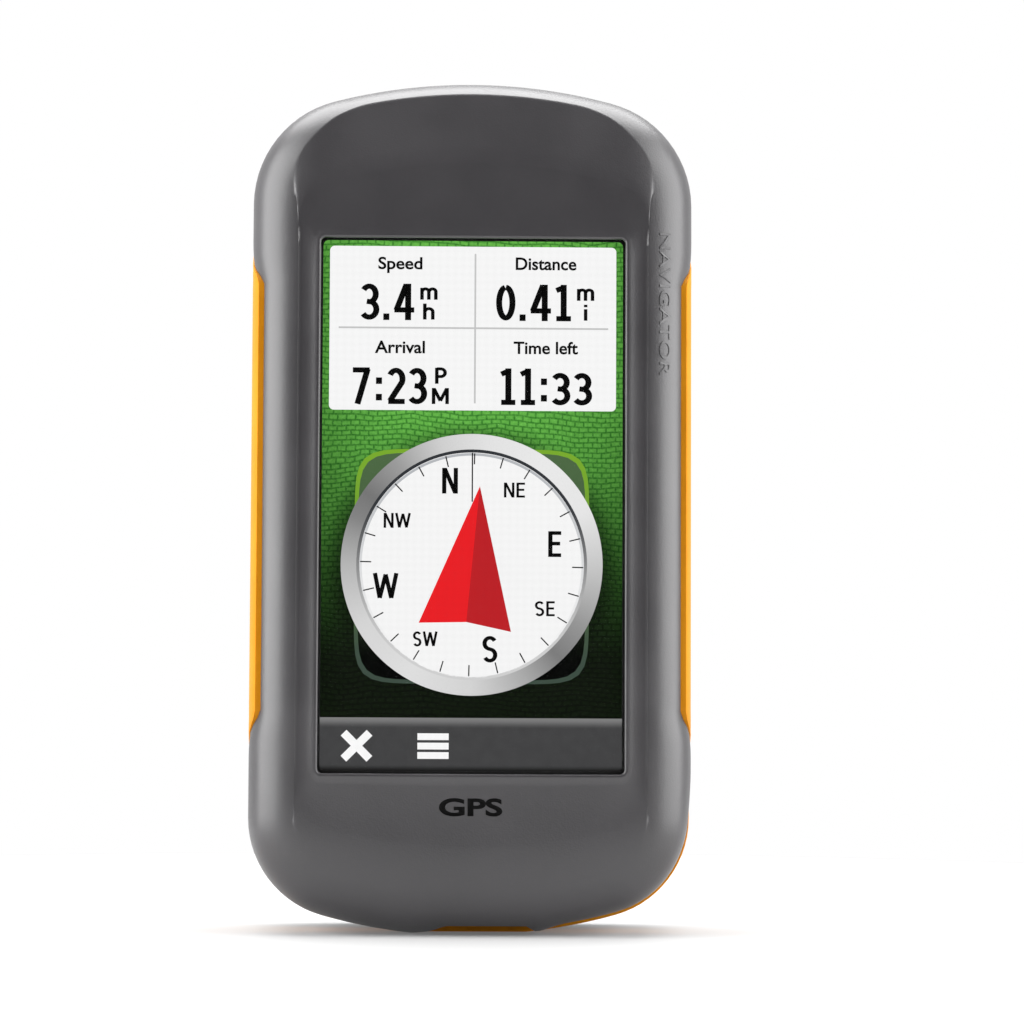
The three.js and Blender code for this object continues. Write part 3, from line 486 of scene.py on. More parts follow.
SIDE_SHARPNESS, TOP_SHARPNESS = 1.35, 1.1
EASE_IN = 0.125                       # share of the flank in which a far joint joins the curve


def waist(z):
    """1 along the flanks where the frame widens, 0 above and below."""
    rise = smooth((z - WAIST_LOW) / WAIST_BLEND)
    return rise * (1 - smooth((z - WAIST_HIGH + WAIST_BLEND) / WAIST_BLEND))


def joint_y(z):
    return mixed(SPLIT_END, SPLIT_WAIST, waist(z))


def slot_share(x, z):
    """1 where the bottom edge is cut away over the frame's foot, 0 elsewhere."""
    if z > 6 * MM:
        return 0
    start = smooth((x - SLOT_LEFT + 2 * MM) / (8 * MM))
    return start * (1 - smooth((x - SLOT_RIGHT + 1.6 * MM) / (2.2 * MM)))


def edge_show(x, z):
    """How far the shell stands back from the frame: most at the waist and the lower right."""
    beside = smooth((x - SLOT_RIGHT + 1 * MM) / (6 * MM)) * (1 - smooth((z - 12 * MM) / (16 * MM)))
    return (0.08 + 1.1 * beside + 0.45 * waist(z)) * MM


def top_share(x, z):
    """1 across the top edge, where the ridge is crisp, fading round the corners."""
    corner = smooth((abs(x) - 18 * MM) / (14 * MM))
    return smooth((z - HEIGHT + 27 * MM) / (24 * MM)) * (1 - 0.45 * corner)


def shoulder_place(x, z):
    """How far in and how deep the flank's curve ends: broad at the sides, close at the top."""
    close = top_share(x, z)
    low = 1 - smooth((z - 2 * MM) / (20 * MM))
    y = mixed(mixed(SHOULDER_Y, RIDGE_LOW_Y, low), RIDGE_TOP_Y, close)
    return mixed(SHOULDER_IN, RIDGE_IN, close), y


def flank_ring(share):
    """One ring of the flank, which curves like a quarter oval from sideways to forwards.

    share is 0 at the joint with the frame and 1 where the flank has become the face.
    """
    ring = []
    for (x, z), (far_x, far_z) in zip(OUTLINE, case_points(SHOULDER_IN)):
        slot = slot_share(x, z)
        start_y = mixed(joint_y(z), SLOT_Y, slot)
        shoulder_in, shoulder_y = shoulder_place(x, z)
        close = top_share(x, z)
        full = math.radians(mixed(SIDE_TURN, TOP_TURN, close))
        sharpness = mixed(SIDE_SHARPNESS, TOP_SHARPNESS, close)
        passed = min(max((FLANK_Y - start_y) / (FLANK_Y - shoulder_y), 0), 1)
        first = math.asin(passed * math.sin(full))
        turn = mixed(first, full, share)
        inset = shoulder_in * ((1 - math.cos(turn)) / (1 - math.cos(full))) ** sharpness
        y = mixed(FLANK_Y, shoulder_y, math.sin(turn) / math.sin(full))
        if start_y > FLANK_Y and share < EASE_IN:
            y = mixed(start_y, y, share / EASE_IN)
        shown = edge_show(x, z) * (1 - share) ** 1.5 + slot * SLOT_SHOW * (1 - share)
        t = (inset + shown) / SHOULDER_IN
        ring.append((mixed(x, far_x, t), y, mixed(z, far_z, t)))
    return ring


NEARLY_STRAIGHT = 9.0                 # metres, the radius of an edge with no visible bow


def panel_ring(half_w, low, high, low_radius, high_radius, low_corner, high_corner, y):
    half = half_ring(half_w, low, high, low_radius, high_radius, low_corner, high_corner)
    return [(x, y, z) for x, z in whole_ring(half)]


def beside_screen(z):
    """1 along the sides of the screen, where the crease is a valley, 0 above and below it."""
    return smooth((z - 22 * MM) / (7 * MM)) * (1 - smooth((z - 114 * MM) / (8 * MM)))


def crease_ring(grow, y, valley):
    """The crease round the terrace: a valley beside the screen, a low brow over it."""
    ring = panel_ring(28.8 * MM + grow, 15.2 * MM - grow, 128.8 * MM + grow, 104 * MM, 86 * MM,
                      6.5 * MM + grow, 5.5 * MM + grow, y)
    brow = [0.1 * MM * smooth((z - 114 * MM) / (8 * MM)) for _, _, z in ring]
    return [(x, y + valley * beside_screen(z) - lift, z) for (x, y, z), lift in zip(ring, brow)]


def window_ring(grow, y):
    """The screen opening's outline, grown outwards, at depth y."""
    corner = 0.8 * MM + grow * 0.7
    return panel_ring(SCREEN_HALF_W + grow, SCREEN_LOW - grow, SCREEN_HIGH + grow, NEARLY_STRAIGHT,
                      NEARLY_STRAIGHT, corner, corner, y)


def between(first, second, t, lift):
    """A ring part of the way from one ring to another, lifted towards the viewer."""
    return [(mixed(a[0], b[0], t), mixed(a[1], b[1], t) - lift, mixed(a[2], b[2], t))
            for a, b in zip(first, second)]


def bezel_rings():
    """Rings from the joint over the flank, the face and the lip, and back behind the glass."""
    wall_in = case_points(WALL + 0.4 * MM)
    inner_joint = [(x, mixed(joint_y(outer_z), SLOT_Y, slot_share(outer_x, outer_z)), z)
                   for (x, z), (outer_x, outer_z) in zip(wall_in, OUTLINE)]
    inner_face = [(x, FRONT + 4.2 * MM, z) for x, z in case_points(RIDGE_IN + WALL)]
    shoulder = flank_ring(1)
    crease_out = crease_ring(0.5 * MM, CREASE_Y, 0)
    crease_in = crease_ring(0.1 * MM, CREASE_Y, 0.16 * MM)
    lip_foot = [(x, y + 0.14 * MM * (1 - beside_screen(z)), z)
                for x, y, z in window_ring(1.0 * MM, FRONT + 0.14 * MM)]
    shares = (0, 0.02, 0.06, 0.125, 0.2, 0.28, 0.36, 0.44, 0.52, 0.6, 0.68, 0.76, 0.84, 0.92, 0.98)
    rings = [inner_joint] + [flank_ring(share) for share in shares] + [shoulder]
    for t in (0.03, 0.25, 0.5, 0.75):
        rings.append(between(shoulder, crease_out, t, 0.1 * MM * math.sin(math.pi * t)))
    rings += [crease_out, crease_in]
    for t in (0.15, 0.4, 0.7, 0.9):
        rings.append(between(crease_in, lip_foot, t, -0.12 * MM * math.sin(math.pi * t)))
    rings.append(lip_foot)
    behind = glass_low.y - 0.03 * MM
    pocket = GLASS_LAP + 0.4 * MM
    for grow, y in ((0.6 * MM, FRONT + 0.02 * MM), (0.4 * MM, FRONT), (0.12 * MM, FRONT + 0.1 * MM),
                    (0, FRONT + 0.3 * MM), (0, behind), (pocket, behind), (pocket, glass_low.y + 2.4 * MM)):
        rings.append(window_ring(grow, y))
    return rings + [inner_face]


front_bezel = loft("front_bezel_shell", bezel_rings())
soften(front_bezel, 0, angle=40)
fit(front_bezel, "root", "casing", casing_finish, "front_bezel")

# ---- markings on the bezel ------------------------------------------------------------
# Plain generic words: three letters printed in black ink under the screen, and a word
# moulded in low relief down the right flank, where the surface curves away.
bezel_tree = BVHTree.FromPolygons([v.co for v in front_bezel.data.vertices],
                                  [tuple(face.vertices) for face in front_bezel.data.polygons])


def on_bezel(x, z):
    """The point of the bezel's outside in front of a spot."""
    return bezel_tree.ray_cast(Vector((x, FRONT - 10 * MM, z)), Vector((0, 1, 0)))[0]


def word_mesh(words, weight):
    """The flat figures of some words, as a bmesh lying in X and Y about its own middle."""
    text = bpy.data.curves.new("words", "FONT")
    text.body = words
    text.size = 1
    text.offset = weight
    text.resolution_u = 6
    holder = bpy.data.objects.new("words", text)
    scene.collection.objects.link(holder)
    bpy.context.view_layer.update()
    bm = bmesh.new()
    bm.from_mesh(holder.to_mesh())
    holder.to_mesh_clear()
    bpy.data.objects.remove(holder)
    bmesh.ops.remove_doubles(bm, verts=bm.verts, dist=1e-4)
    middle = [(max(v.co[k] for v in bm.verts) + min(v.co[k] for v in bm.verts)) / 2 for k in (0, 1)]
    spread = [max(v.co[k] for v in bm.verts) - min(v.co[k] for v in bm.verts) for k in (0, 1)]
    for v in bm.verts:
        v.co = ((v.co.x - middle[0]) / spread[0], (v.co.y - middle[1]) / spread[1], 0)
    return bm


def marking(name, words, weight, place_of, thickness, slot, finish):
    """Words laid on the case: place_of turns a spot in the unit box into a point."""
    bm = word_mesh(words, weight)
    grown = bmesh.ops.extrude_face_region(bm, geom=list(bm.faces))["geom"]
    raised = {v for v in grown if isinstance(v, bmesh.types.BMVert)}
    for v in bm.verts:
        place = place_of(v.co.x, v.co.y)
        v.co = place + Vector((0, -thickness if v in raised else thickness, 0))
    bmesh.ops.recalc_face_normals(bm, faces=bm.faces)
    return fit(finished_object(name, bm), "root", slot, finish)


print_ink = moulded("print_ink", linear("020202"), linear("040404"), 0.7, specular=0.1)
marking("printed_letters", "GPS", 0.03,
        lambda u, v: on_bezel(u * 10.5 * MM, 21.5 * MM + v * 3.0 * MM), 0.04 * MM, "label", print_ink)
marking("moulded_word", "NAVIGATOR", 0.0,
        lambda u, v: on_bezel(32.2 * MM + v * 1.9 * MM, 105.6 * MM - u * 24 * MM),
        0.16 * MM, "casing", casing_finish)

# ---- middle frame ---------------------------------------------------------------------
# The coloured frame between the shells, moulded in orange plastic. It widens along both
# flanks, carries the power key and ends in a small foot that shows under the bezel.
OUTLINE_IN = case_points(RIDGE_IN)


def frame_rings():
    """Rings over the outside from joint to joint, then two back along the inside."""
    start = [mixed(joint_y(z), SPLIT_END, slot_share(x, z)) + GAP for x, z in OUTLINE]
    rings = []
    for t in (0, 0.03, 0.12, 0.25, 0.4, 0.6, 0.8, 0.97, 1):
        easing = 0.12 * MM if t in (0, 1) else 0
        ring = []
        for (x, z), (far_x, far_z), start_y in zip(OUTLINE, OUTLINE_IN, start):
            y = mixed(start_y, SPLIT_REAR, t)
            share = (roll(y) + easing) / RIDGE_IN
            ring.append((mixed(x, far_x, share), y, mixed(z, far_z, share)))
        rings.append(ring)
    inner = case_points(WALL)
    rings.append([(x, SPLIT_REAR, z) for x, z in inner])
    rings.append([(mixed(x, 0, 0.03) if y < -8 * MM else x, y, z) for (x, z), y in zip(inner, start)])
    return rings


def key_opening(piece):
    """Cuts the power key's opening through the frame's corner, a gap wider than the key."""
    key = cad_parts["power_key"].data
    outward = max(key.polygons, key=lambda side: side.normal.x * side.area).normal.copy()
    along = Vector((-outward.z, 0, outward.x))
    points = [v.co for v in key.vertices]
    face = max(p.dot(outward) for p in points)
    spots = [(p.dot(along), p.y) for p in points if p.dot(outward) > face - 0.05 * MM]
    low = [min(spot[k] for spot in spots) - GAP for k in (0, 1)]
    high = [max(spot[k] for spot in spots) + GAP for k in (0, 1)]
    deepest = face - 8 * MM
    bm = bmesh.new()
    bm.from_mesh(piece.data)
    for direction, k in ((along, 0), (Vector((0, 1, 0)), 1)):
        for at in (low[k], high[k]):
            near = [f for f in bm.faces if f.calc_center_median().dot(outward) > deepest]
            edges = {e for f in near for e in f.edges}
            corners = {v for f in near for v in f.verts}
            bmesh.ops.bisect_plane(bm, geom=near + list(edges) + list(corners), plane_co=direction * at,
                                   plane_no=direction)
    inside = []
    for f in bm.faces:
        middle = f.calc_center_median()
        if (middle.dot(outward) > deepest and low[0] < middle.dot(along) < high[0]
                and low[1] < middle.y < high[1]):
            inside.append(f)
    bmesh.ops.delete(bm, geom=inside, context="FACES")
    bmesh.ops.bridge_loops(bm, edges=[e for e in bm.edges if e.is_boundary])
    bmesh.ops.recalc_face_normals(bm, faces=bm.faces)
    bm.to_mesh(piece.data)
    bm.free()


mid_frame = loft("middle_frame", frame_rings())
key_opening(mid_frame)
soften(mid_frame, 0, angle=40)
fit(mid_frame, "root", "accent", orange_finish, "mid_frame")

# ---- inner pieces ---------------------------------------------------------------------
# Boards, shields, seals, screws, caps, the rear shell and the door: each is the fitted solid
# itself in its own finish, with its edges broken by the small radius such a piece has.


def refined(node, body, slot, finish, width):
    """A CAD node's merged copy with softened edges, standing in for the node."""
    bm = bmesh.new()
    bm.from_mesh(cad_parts[node].data)
    bmesh.ops.remove_doubles(bm, verts=bm.verts, dist=2e-6)
    bmesh.ops.dissolve_limit(bm, angle_limit=math.radians(0.5), verts=bm.verts, edges=bm.edges)
    piece = finished_object(node + "_finished", bm)
    soften(piece, width)
    return fit(piece, body, slot, finish, node)


LOOKS = {"rubber": rubber_finish, "sheet_metal": steel_finish, "flex_film": flex_finish,
         "chassis_metal": alloy_finish, "circuit_board": pcb_finish, "ceramic_white": white_finish,
         "dark_plastic": dark_finish, "screw_steel": screw_finish, "casing": rear_finish,
         "label": white_finish, "brass_plate": brass_finish}

for node_name, slot_name, edge in (
        ("window_gasket", "rubber", 0),
        ("lcd_tray", "sheet_metal", 0.1),
        ("display_flex", "flex_film", 0),
        ("inner_chassis", "chassis_metal", 0.2),
        ("main_board", "circuit_board", 0.08),
        ("processor_shield", "sheet_metal", 0.25),
        ("receiver_shield", "sheet_metal", 0.25),
        ("power_shield", "sheet_metal", 0.25),
        ("display_connector", "ceramic_white", 0.1),
        ("beeper", "dark_plastic", 0.2),
        ("backup_cell", "sheet_metal", 0.25),
        ("compass_sensor", "dark_plastic", 0.1),
        ("pressure_sensor", "sheet_metal", 0.15),
        ("antenna_cradle", "dark_plastic", 0.15),
        ("helix_antenna", "ceramic_white", 0.3),
        ("board_screw_1", "screw_steel", 0.1),
        ("board_screw_2", "screw_steel", 0.1),
        ("housing_seal", "rubber", 0.2),
        ("power_switch", "sheet_metal", 0.1),
        ("rear_housing", "casing", 0.15),
        ("dock_contacts", "dark_plastic", 0.1),
        ("pressure_vent", "label", 0.05),
        ("io_board", "circuit_board", 0.08),
        ("usb_socket", "sheet_metal", 0.08),
        ("headphone_jack", "dark_plastic", 0.1),
        ("antenna_socket", "brass_plate", 0.08),
        ("card_socket", "sheet_metal", 0.08),
        ("rating_label", "label", 0.02),
        ("battery_contacts", "brass_plate", 0.08),
        ("case_screw_1", "screw_steel", 0.1),
        ("case_screw_2", "screw_steel", 0.1),
        ("case_screw_3", "screw_steel", 0.1),
        ("case_screw_4", "screw_steel", 0.1)):
    refined(node_name, "root", slot_name, LOOKS[slot_name], edge * MM)

refined("power_key", "key", "casing", casing_finish, 0.35 * MM)
for node_name, body_name, slot_name, edge in (
        ("battery_door", "door", "casing", 0.3),
        ("door_seal", "door", "rubber", 0.2),
        ("latch_washer", "door", "rubber", 0),
        ("battery_pack", "battery", "dark_plastic", 0.3),
        ("latch_cam", "latch", "dark_plastic", 0.2),
        ("latch_bar", "latch", "sheet_metal", 0.15),
        ("d_ring_pin", "latch", "screw_steel", 0.05),
        ("d_ring", "ring", "screw_steel", 0.12),
        ("io_cap", "io_cap", "rubber", 0.25),
        ("antenna_cap", "antenna_cap", "rubber", 0.25),
        ("memory_card", "card", "dark_plastic", 0.08)):
    refined(node_name, body_name, slot_name, LOOKS[slot_name], edge * MM)

# ---- touch glass ----------------------------------------------------------------------
# A sheet of hardened clear glass, bonded behind the lip over its gasket, with a few faint
# smears on it.
glass_finish = Finish("clear_glass", {"Base Color": (0.01, 0.01, 0.01, 1), "Specular IOR Level": 0.35})
smears = glass_finish.noise(9 * MM, 4.0)
glass_finish.feed("Roughness", 0.03 + smears.fade(0.45, 0.8) * 0.05)
glass_finish.feed("Alpha", 0.03 + smears.fade(0.5, 0.9) * 0.01)
refined("display_window", "root", "window", glass_finish.material, 0.1 * MM)

# ---- picture: cloth and border --------------------------------------------------------
# The lit picture is built in thin glowing layers just in front of the panel. Behind them all
# is woven green cloth, and a black border printed behind the glass frames them.
PICTURE_HALF_W = SCREEN_HALF_W - 0.32 * MM
PICTURE_LOW = SCREEN_LOW + 0.45 * MM
PICTURE_HIGH = SCREEN_HIGH - 0.3 * MM
UNDER_BORDER = 0.5 * MM               # how far the cloth and the bar run under the border
BORDER_W = 1.5 * MM
PICTURE_Y = LCD_LOW.y - 0.02 * MM
LAYER = 0.012 * MM
DIAL_X = 0.0
DIAL_Z = SCREEN_MID - 9.9 * MM
DIAL_R = 21.87 * MM
DOT_PITCH = 0.21 * MM
UNLIT = {"Base Color": (0.002, 0.002, 0.002, 1), "Roughness": 0.6, "Specular IOR Level": 0.0,
         "Emission Strength": 1.0}


def lit(name, colour):
    """A flat colour of the picture, with the panel's faint dot grid in it."""
    finish = Finish(name, UNLIT)
    dots = ((finish.x / DOT_PITCH).wave() + (finish.z / DOT_PITCH).wave()) * 0.008 + 1.0
    tint = finish.node("ShaderNodeCombineColor", {}, {k: dots * colour[k] for k in range(3)})
    finish.feed("Emission Color", tint)
    return finish.material


def layer_piece(name, bm, level, finish):
    """Gives a flat figure drawn in X and Z its thickness, its level and its finish."""
    grown = bmesh.ops.extrude_face_region(bm, geom=list(bm.faces))["geom"]
    raised = [v for v in grown if isinstance(v, bmesh.types.BMVert)]
    bmesh.ops.translate(bm, verts=raised, vec=(0, -LAYER * 0.6, 0))
    bmesh.ops.translate(bm, verts=bm.verts, vec=(0, PICTURE_Y - level * LAYER, 0))
    bmesh.ops.recalc_face_normals(bm, faces=bm.faces)
    return fit(finished_object(name, bm), "root", "display", finish)


def join_shapes(shapes):
    """Several flat outlines filled in, as one bmesh."""
    bm = bmesh.new()
    for points in shapes:
        verts = [bm.verts.new((x, 0, z)) for x, z in points]
        bmesh.ops.contextual_create(bm, geom=verts)
    return bm


def flat_shape(points):
    return join_shapes([points])


def rounded(x0, x1, z0, z1, radius):
    """The outline of a rectangle with round corners."""
    steps = 6
    points = []
    for cx, cz, start in ((x1 - radius, z0 + radius, -90), (x1 - radius, z1 - radius, 0),
                          (x0 + radius, z1 - radius, 90), (x0 + radius, z0 + radius, 180)):
        for i in range(steps + 1):
            a = math.radians(start + 90 * i / steps)
            points.append((cx + radius * math.cos(a), cz + radius * math.sin(a)))
    return points


def disc_points(z, radius):
    """A circle about the dial's middle line, at height z."""
    steps = 128
    turns = [2 * math.pi * i / steps for i in range(steps)]
    return [(DIAL_X + radius * math.sin(turn), z + radius * math.cos(turn)) for turn in turns]


def frame_shape(one_edge, other_edge):
    """The flat band between two outlines that have as many points."""
    bm = bmesh.new()
    loops = [add_ring(bm, [(px, 0, pz) for px, pz in points]) for points in (one_edge, other_edge)]
    bmesh.ops.bridge_loops(bm, edges=loops[0] + loops[1])
    return bm


def bar(x, z, length, width, angle=0.0):
    """A straight stroke centred on a point, its length turned clockwise from upright."""
    along = Vector((math.sin(angle), math.cos(angle)))
    across = Vector((along.y, -along.x))
    centre = Vector((x, z))
    return [tuple(centre + along * length / 2 * a + across * width / 2 * b)
            for a, b in ((1, 1), (1, -1), (-1, -1), (-1, 1))]


def cloth_finish():
    """Woven cloth lit from above: rows of short threads, bright at the top, dark below."""
    finish = Finish("picture_cloth", UNLIT)
    sway = finish.noise(14 * MM, 2.0) - 0.5
    lean = (finish.x / (13 * MM)).wave() * (0.9 * MM)
    row_z = finish.z + lean + sway * (4 * MM)
    row_x = finish.x + sway * (2 * MM)
    place = finish.vector(row_x, row_z, 0.0)
    threads = finish.node("ShaderNodeTexBrick", {"offset": 0.5}, {
        "Vector": place, "Color1": (1, 1, 1, 1), "Color2": (0.82, 0.82, 0.82, 1),
        "Mortar": (0.0, 0.0, 0.0, 1), "Scale": 1.0, "Mortar Size": 0.26 * MM, "Mortar Smooth": 1.0,
        "Bias": 0.0, "Brick Width": 1.5 * MM, "Row Height": 0.86 * MM})
    fibre = finish.noise(0.35 * MM, 2.0)
    patches = finish.noise(9 * MM, 2.0)
    cloth = threads * 0.6 + fibre * 0.8 - 0.18
    height = (finish.z - SCREEN_LOW) / (SCREEN_HIGH - SCREEN_LOW)
    daylight = height.fade(0.2, 0.74)
    from_centre = (finish.x / (30 * MM)).size()
    daylight = daylight * (1.08 - from_centre ** 2.0 * 0.55) * (0.85 + patches * 0.35)
    dim = finish.blend(cloth, linear("040604"), linear("111c0c"))
    bright = finish.blend(cloth, linear("1f6a1d"), linear("72c653"))
    gap_x = (finish.x - DIAL_X) / DIAL_R
    gap_z = (finish.z - DIAL_Z + 1.6 * MM) / DIAL_R
    distance = (gap_x * gap_x + gap_z * gap_z) ** 0.5
    shade = distance.fade(0.95, 1.22) * 0.85 + 0.15
    finish.feed("Emission Color", finish.blend(daylight * shade, dim, bright))
    return finish.material


CLOTH_HALF_W = PICTURE_HALF_W + UNDER_BORDER
layer_piece("picture_cloth", flat_shape(rounded(
    -CLOTH_HALF_W, CLOTH_HALF_W, PICTURE_LOW - UNDER_BORDER, PICTURE_HIGH + UNDER_BORDER, 0.6 * MM)),
    0, cloth_finish())

BORDER_HALF_W = SCREEN_HALF_W + BORDER_W
layer_piece("window_border", frame_shape(
    rounded(-BORDER_HALF_W, BORDER_HALF_W, SCREEN_LOW - BORDER_W, SCREEN_HIGH + BORDER_W, 1.6 * MM),
    rounded(-PICTURE_HALF_W, PICTURE_HALF_W, PICTURE_LOW, PICTURE_HIGH, 0.9 * MM)),
    26, moulded("border_ink", linear("030303"), linear("060606"), 0.5))

# ---- picture: data table --------------------------------------------------------------
# A white card with four fields and two hairlines between them. The labels are set in a
# plain typeface, and the large figures are drawn with a round of pen strokes.
TABLE_LOW = SCREEN_MID + 15.9 * MM
TABLE_HIGH = SCREEN_MID + 43.5 * MM
TABLE_HALF_W = 24.03 * MM
HAIRLINE_W = 0.3 * MM
BOLD = 0.022
PEN = 1.02 * MM
SMALL_PEN = 0.6 * MM
ink = lit("picture_ink", linear("060606"))
paper = lit("picture_paper", linear("fcfcfc"))
hairline = lit("picture_hairline", linear("c9c9c9"))
layer_piece("picture_table", flat_shape(rounded(
    -TABLE_HALF_W, TABLE_HALF_W, TABLE_LOW, TABLE_HIGH, 0.8 * MM)), 1, paper)
layer_piece("picture_table_lines", join_shapes([
    bar(0.37 * MM, (TABLE_LOW + TABLE_HIGH) / 2, 25.2 * MM, HAIRLINE_W),
    bar(0.1 * MM, TABLE_LOW + 13.85 * MM, 45.2 * MM, HAIRLINE_W, math.pi / 2)]), 2, hairline)


def label(name, words, width, height, x, z):
    """A field's name, set to an exact width and height about a point of the table."""
    bm = word_mesh(words, BOLD)
    for v in bm.verts:
        v.co = (v.co.x * width + x, 0, v.co.y * height + z)
    return layer_piece(name, bm, 2, ink)


def bend(x, z, across, up, start, end, steps=14):
    """Points on an oval arc; angles run clockwise from straight up."""
    return [(x + across * math.sin(math.radians(start + (end - start) * i / steps)),
             z + up * math.cos(math.radians(start + (end - start) * i / steps))) for i in range(steps + 1)]


# Each figure is a few pen strokes in a box one unit high: its width, then the strokes.
PEN_FIGURES = {
    "0": (0.54, [bend(0.27, 0.5, 0.19, 0.42, 0, 354, 30)]),
    "1": (0.48, [[(0.05, 0.84), (0.27, 0.93)], [(0.26, 0.0), (0.26, 1.0)], [(0.05, 0.07), (0.47, 0.07)]]),
    "2": (0.52, [bend(0.24, 0.69, 0.19, 0.235, -62, 112) + [(0.07, 0.09)], [(0.02, 0.075), (0.5, 0.075)]]),
    "3": (0.52, [bend(0.23, 0.71, 0.19, 0.215, -58, 172) + [(0.16, 0.51)],
                 bend(0.23, 0.29, 0.21, 0.215, 8, 236)]),
    "4": (0.60, [[(0.37, 0.98), (0.08, 0.27)], [(0.02, 0.28), (0.6, 0.28)], [(0.42, 1.0), (0.42, 0.0)]]),
    "7": (0.54, [[(0.03, 0.93), (0.52, 0.93)], [(0.46, 0.96), (0.17, 0.0)]]),
    ".": (0.22, [[(0.11, 0.0), (0.11, 0.18)]]),
    ":": (0.30, [[(0.15, 0.1), (0.15, 0.28)], [(0.15, 0.55), (0.15, 0.73)]]),
    "N": (0.62, [[(0.08, 0.0), (0.08, 1.0)], [(0.10, 0.97), (0.52, 0.03)], [(0.54, 0.0), (0.54, 1.0)]]),
    "E": (0.52, [[(0.08, 0.0), (0.08, 1.0)], [(0.08, 0.93), (0.5, 0.93)], [(0.08, 0.52), (0.46, 0.52)],
                 [(0.08, 0.07), (0.5, 0.07)]]),
    "S": (0.56, [bend(0.28, 0.72, 0.2, 0.21, 62, -165) + bend(0.28, 0.28, 0.2, 0.215, 12, 242)]),
    "W": (0.94, [[(0.06, 1.0), (0.25, 0.03)], [(0.25, 0.03), (0.47, 0.95)], [(0.47, 0.95), (0.69, 0.03)],
                 [(0.69, 0.03), (0.88, 1.0)]]),
    "P": (0.56, [[(0.08, 0.0), (0.08, 1.0)],
                 [(0.08, 0.93), (0.26, 0.93)] + bend(0.27, 0.69, 0.2, 0.24, 10, 170) + [(0.08, 0.45)]]),
    "M": (0.78, [[(0.08, 0.0), (0.08, 1.0)], [(0.10, 0.96), (0.39, 0.2)], [(0.39, 0.2), (0.68, 0.96)],
                 [(0.70, 0.0), (0.70, 1.0)]]),
    "m": (1.02, [[(0.09, 0.0), (0.09, 1.0)],
                 [(0.09, 0.7)] + bend(0.30, 0.68, 0.2, 0.23, -50, 90) + [(0.5, 0.0)],
                 [(0.5, 0.7)] + bend(0.72, 0.68, 0.2, 0.23, -50, 90) + [(0.92, 0.0)]]),
    "h": (0.58, [[(0.08, 0.0), (0.08, 1.0)],
                 [(0.08, 0.5)] + bend(0.29, 0.48, 0.2, 0.2, -50, 90) + [(0.49, 0.0)]]),
    "i": (0.2, [[(0.1, 0.0), (0.1, 0.72)], [(0.1, 0.84), (0.1, 1.0)]]),
}


def stroked(points, width_x, width_z):
    """A pen stroke as a row of four-sided patches, wider across its uprights."""
    edges = []
    for i, point in enumerate(points):
        before = Vector(points[max(i - 1, 0)])
        after = Vector(points[min(i + 1, len(points) - 1)])
        along = (after - before).normalized()
        spread = 1.0
        if 0 < i < len(points) - 1:
            turn = (Vector(point) - before).normalized().dot((after - Vector(point)).normalized())
            spread = 1 / math.sqrt(max((1 + turn) / 2, 0.3))
        side = Vector((along.y * width_x, -along.x * width_z)) * spread / 2
        edges.append(((point[0] - side.x, point[1] - side.y), (point[0] + side.x, point[1] + side.y)))
    return [[a, b, d, c] for (a, b), (c, d) in zip(edges, edges[1:])]


def figures(name, words, width, height, x, z, pen, level=2):
    """Pen-drawn figures set to an exact width and height about a point."""
    gap = 0.1
    full = sum(PEN_FIGURES[c][0] for c in words) + gap * (len(words) - 1)
    spread = width / full
    start = x - width / 2
    shapes = []
    for c in words:
        figure_w, strokes = PEN_FIGURES[c]
        for stroke in strokes:
            placed = [(start + u * spread, z + (v - 0.5) * height) for u, v in stroke]
            shapes += stroked(placed, pen, pen * 0.86)
        start += (figure_w + gap) * spread
    return layer_piece(name, join_shapes(shapes), level, ink)


FIELD_X = 12.23 * MM
LABEL_HIGH = TABLE_HIGH - 2.83 * MM
LABEL_LOW = TABLE_HIGH - 17.0 * MM
VALUE_HIGH = TABLE_HIGH - 9.4 * MM
VALUE_LOW = TABLE_HIGH - 23.55 * MM
for name, words, width, height, x, z in (
        ("speed", "Speed", 7.4, 2.75, -FIELD_X, LABEL_HIGH - 0.35 * MM),
        ("distance", "Distance", 10.2, 2.15, FIELD_X, LABEL_HIGH),
        ("arrival", "Arrival", 8.4, 2.15, -FIELD_X, LABEL_LOW),
        ("time", "Time left", 10.8, 2.15, FIELD_X, LABEL_LOW)):
    label("label_" + name, words, width * MM, height * MM, x, z)

for name, words, width, height, x, z, pen in (
        ("value_speed", "3.4", 8.9, 6.15, -14.3, VALUE_HIGH, PEN),
        ("value_distance", "0.41", 12.6, 6.15, 10.2, VALUE_HIGH, PEN),
        ("value_arrival", "7:23", 12.6, 6.15, -13.95, VALUE_LOW, PEN),
        ("value_time", "11:", 8.3, 6.15, 8.65, VALUE_LOW, PEN),
        ("value_seconds", "33", 6.7, 5.4, 16.65, VALUE_LOW - 0.35 * MM, PEN),
        ("unit_m_1", "m", 2.85, 2.0, -7.4, VALUE_HIGH + 1.4 * MM, SMALL_PEN),
        ("unit_h", "h", 1.9, 2.7, -7.4, VALUE_HIGH - 1.6 * MM, SMALL_PEN),
        ("unit_m_2", "m", 2.85, 2.0, 18.9, VALUE_HIGH + 1.4 * MM, SMALL_PEN),
        ("unit_i", "i", 0.62, 2.7, 18.9, VALUE_HIGH - 1.6 * MM, SMALL_PEN),
        ("unit_p", "P", 2.0, 2.7, -5.3, VALUE_LOW + 1.75 * MM, SMALL_PEN),
        ("unit_m_3", "M", 2.85, 2.7, -5.4, VALUE_LOW - 1.65 * MM, SMALL_PEN)):
    figures(name, words, width * MM, height * MM, x * MM, z, pen)

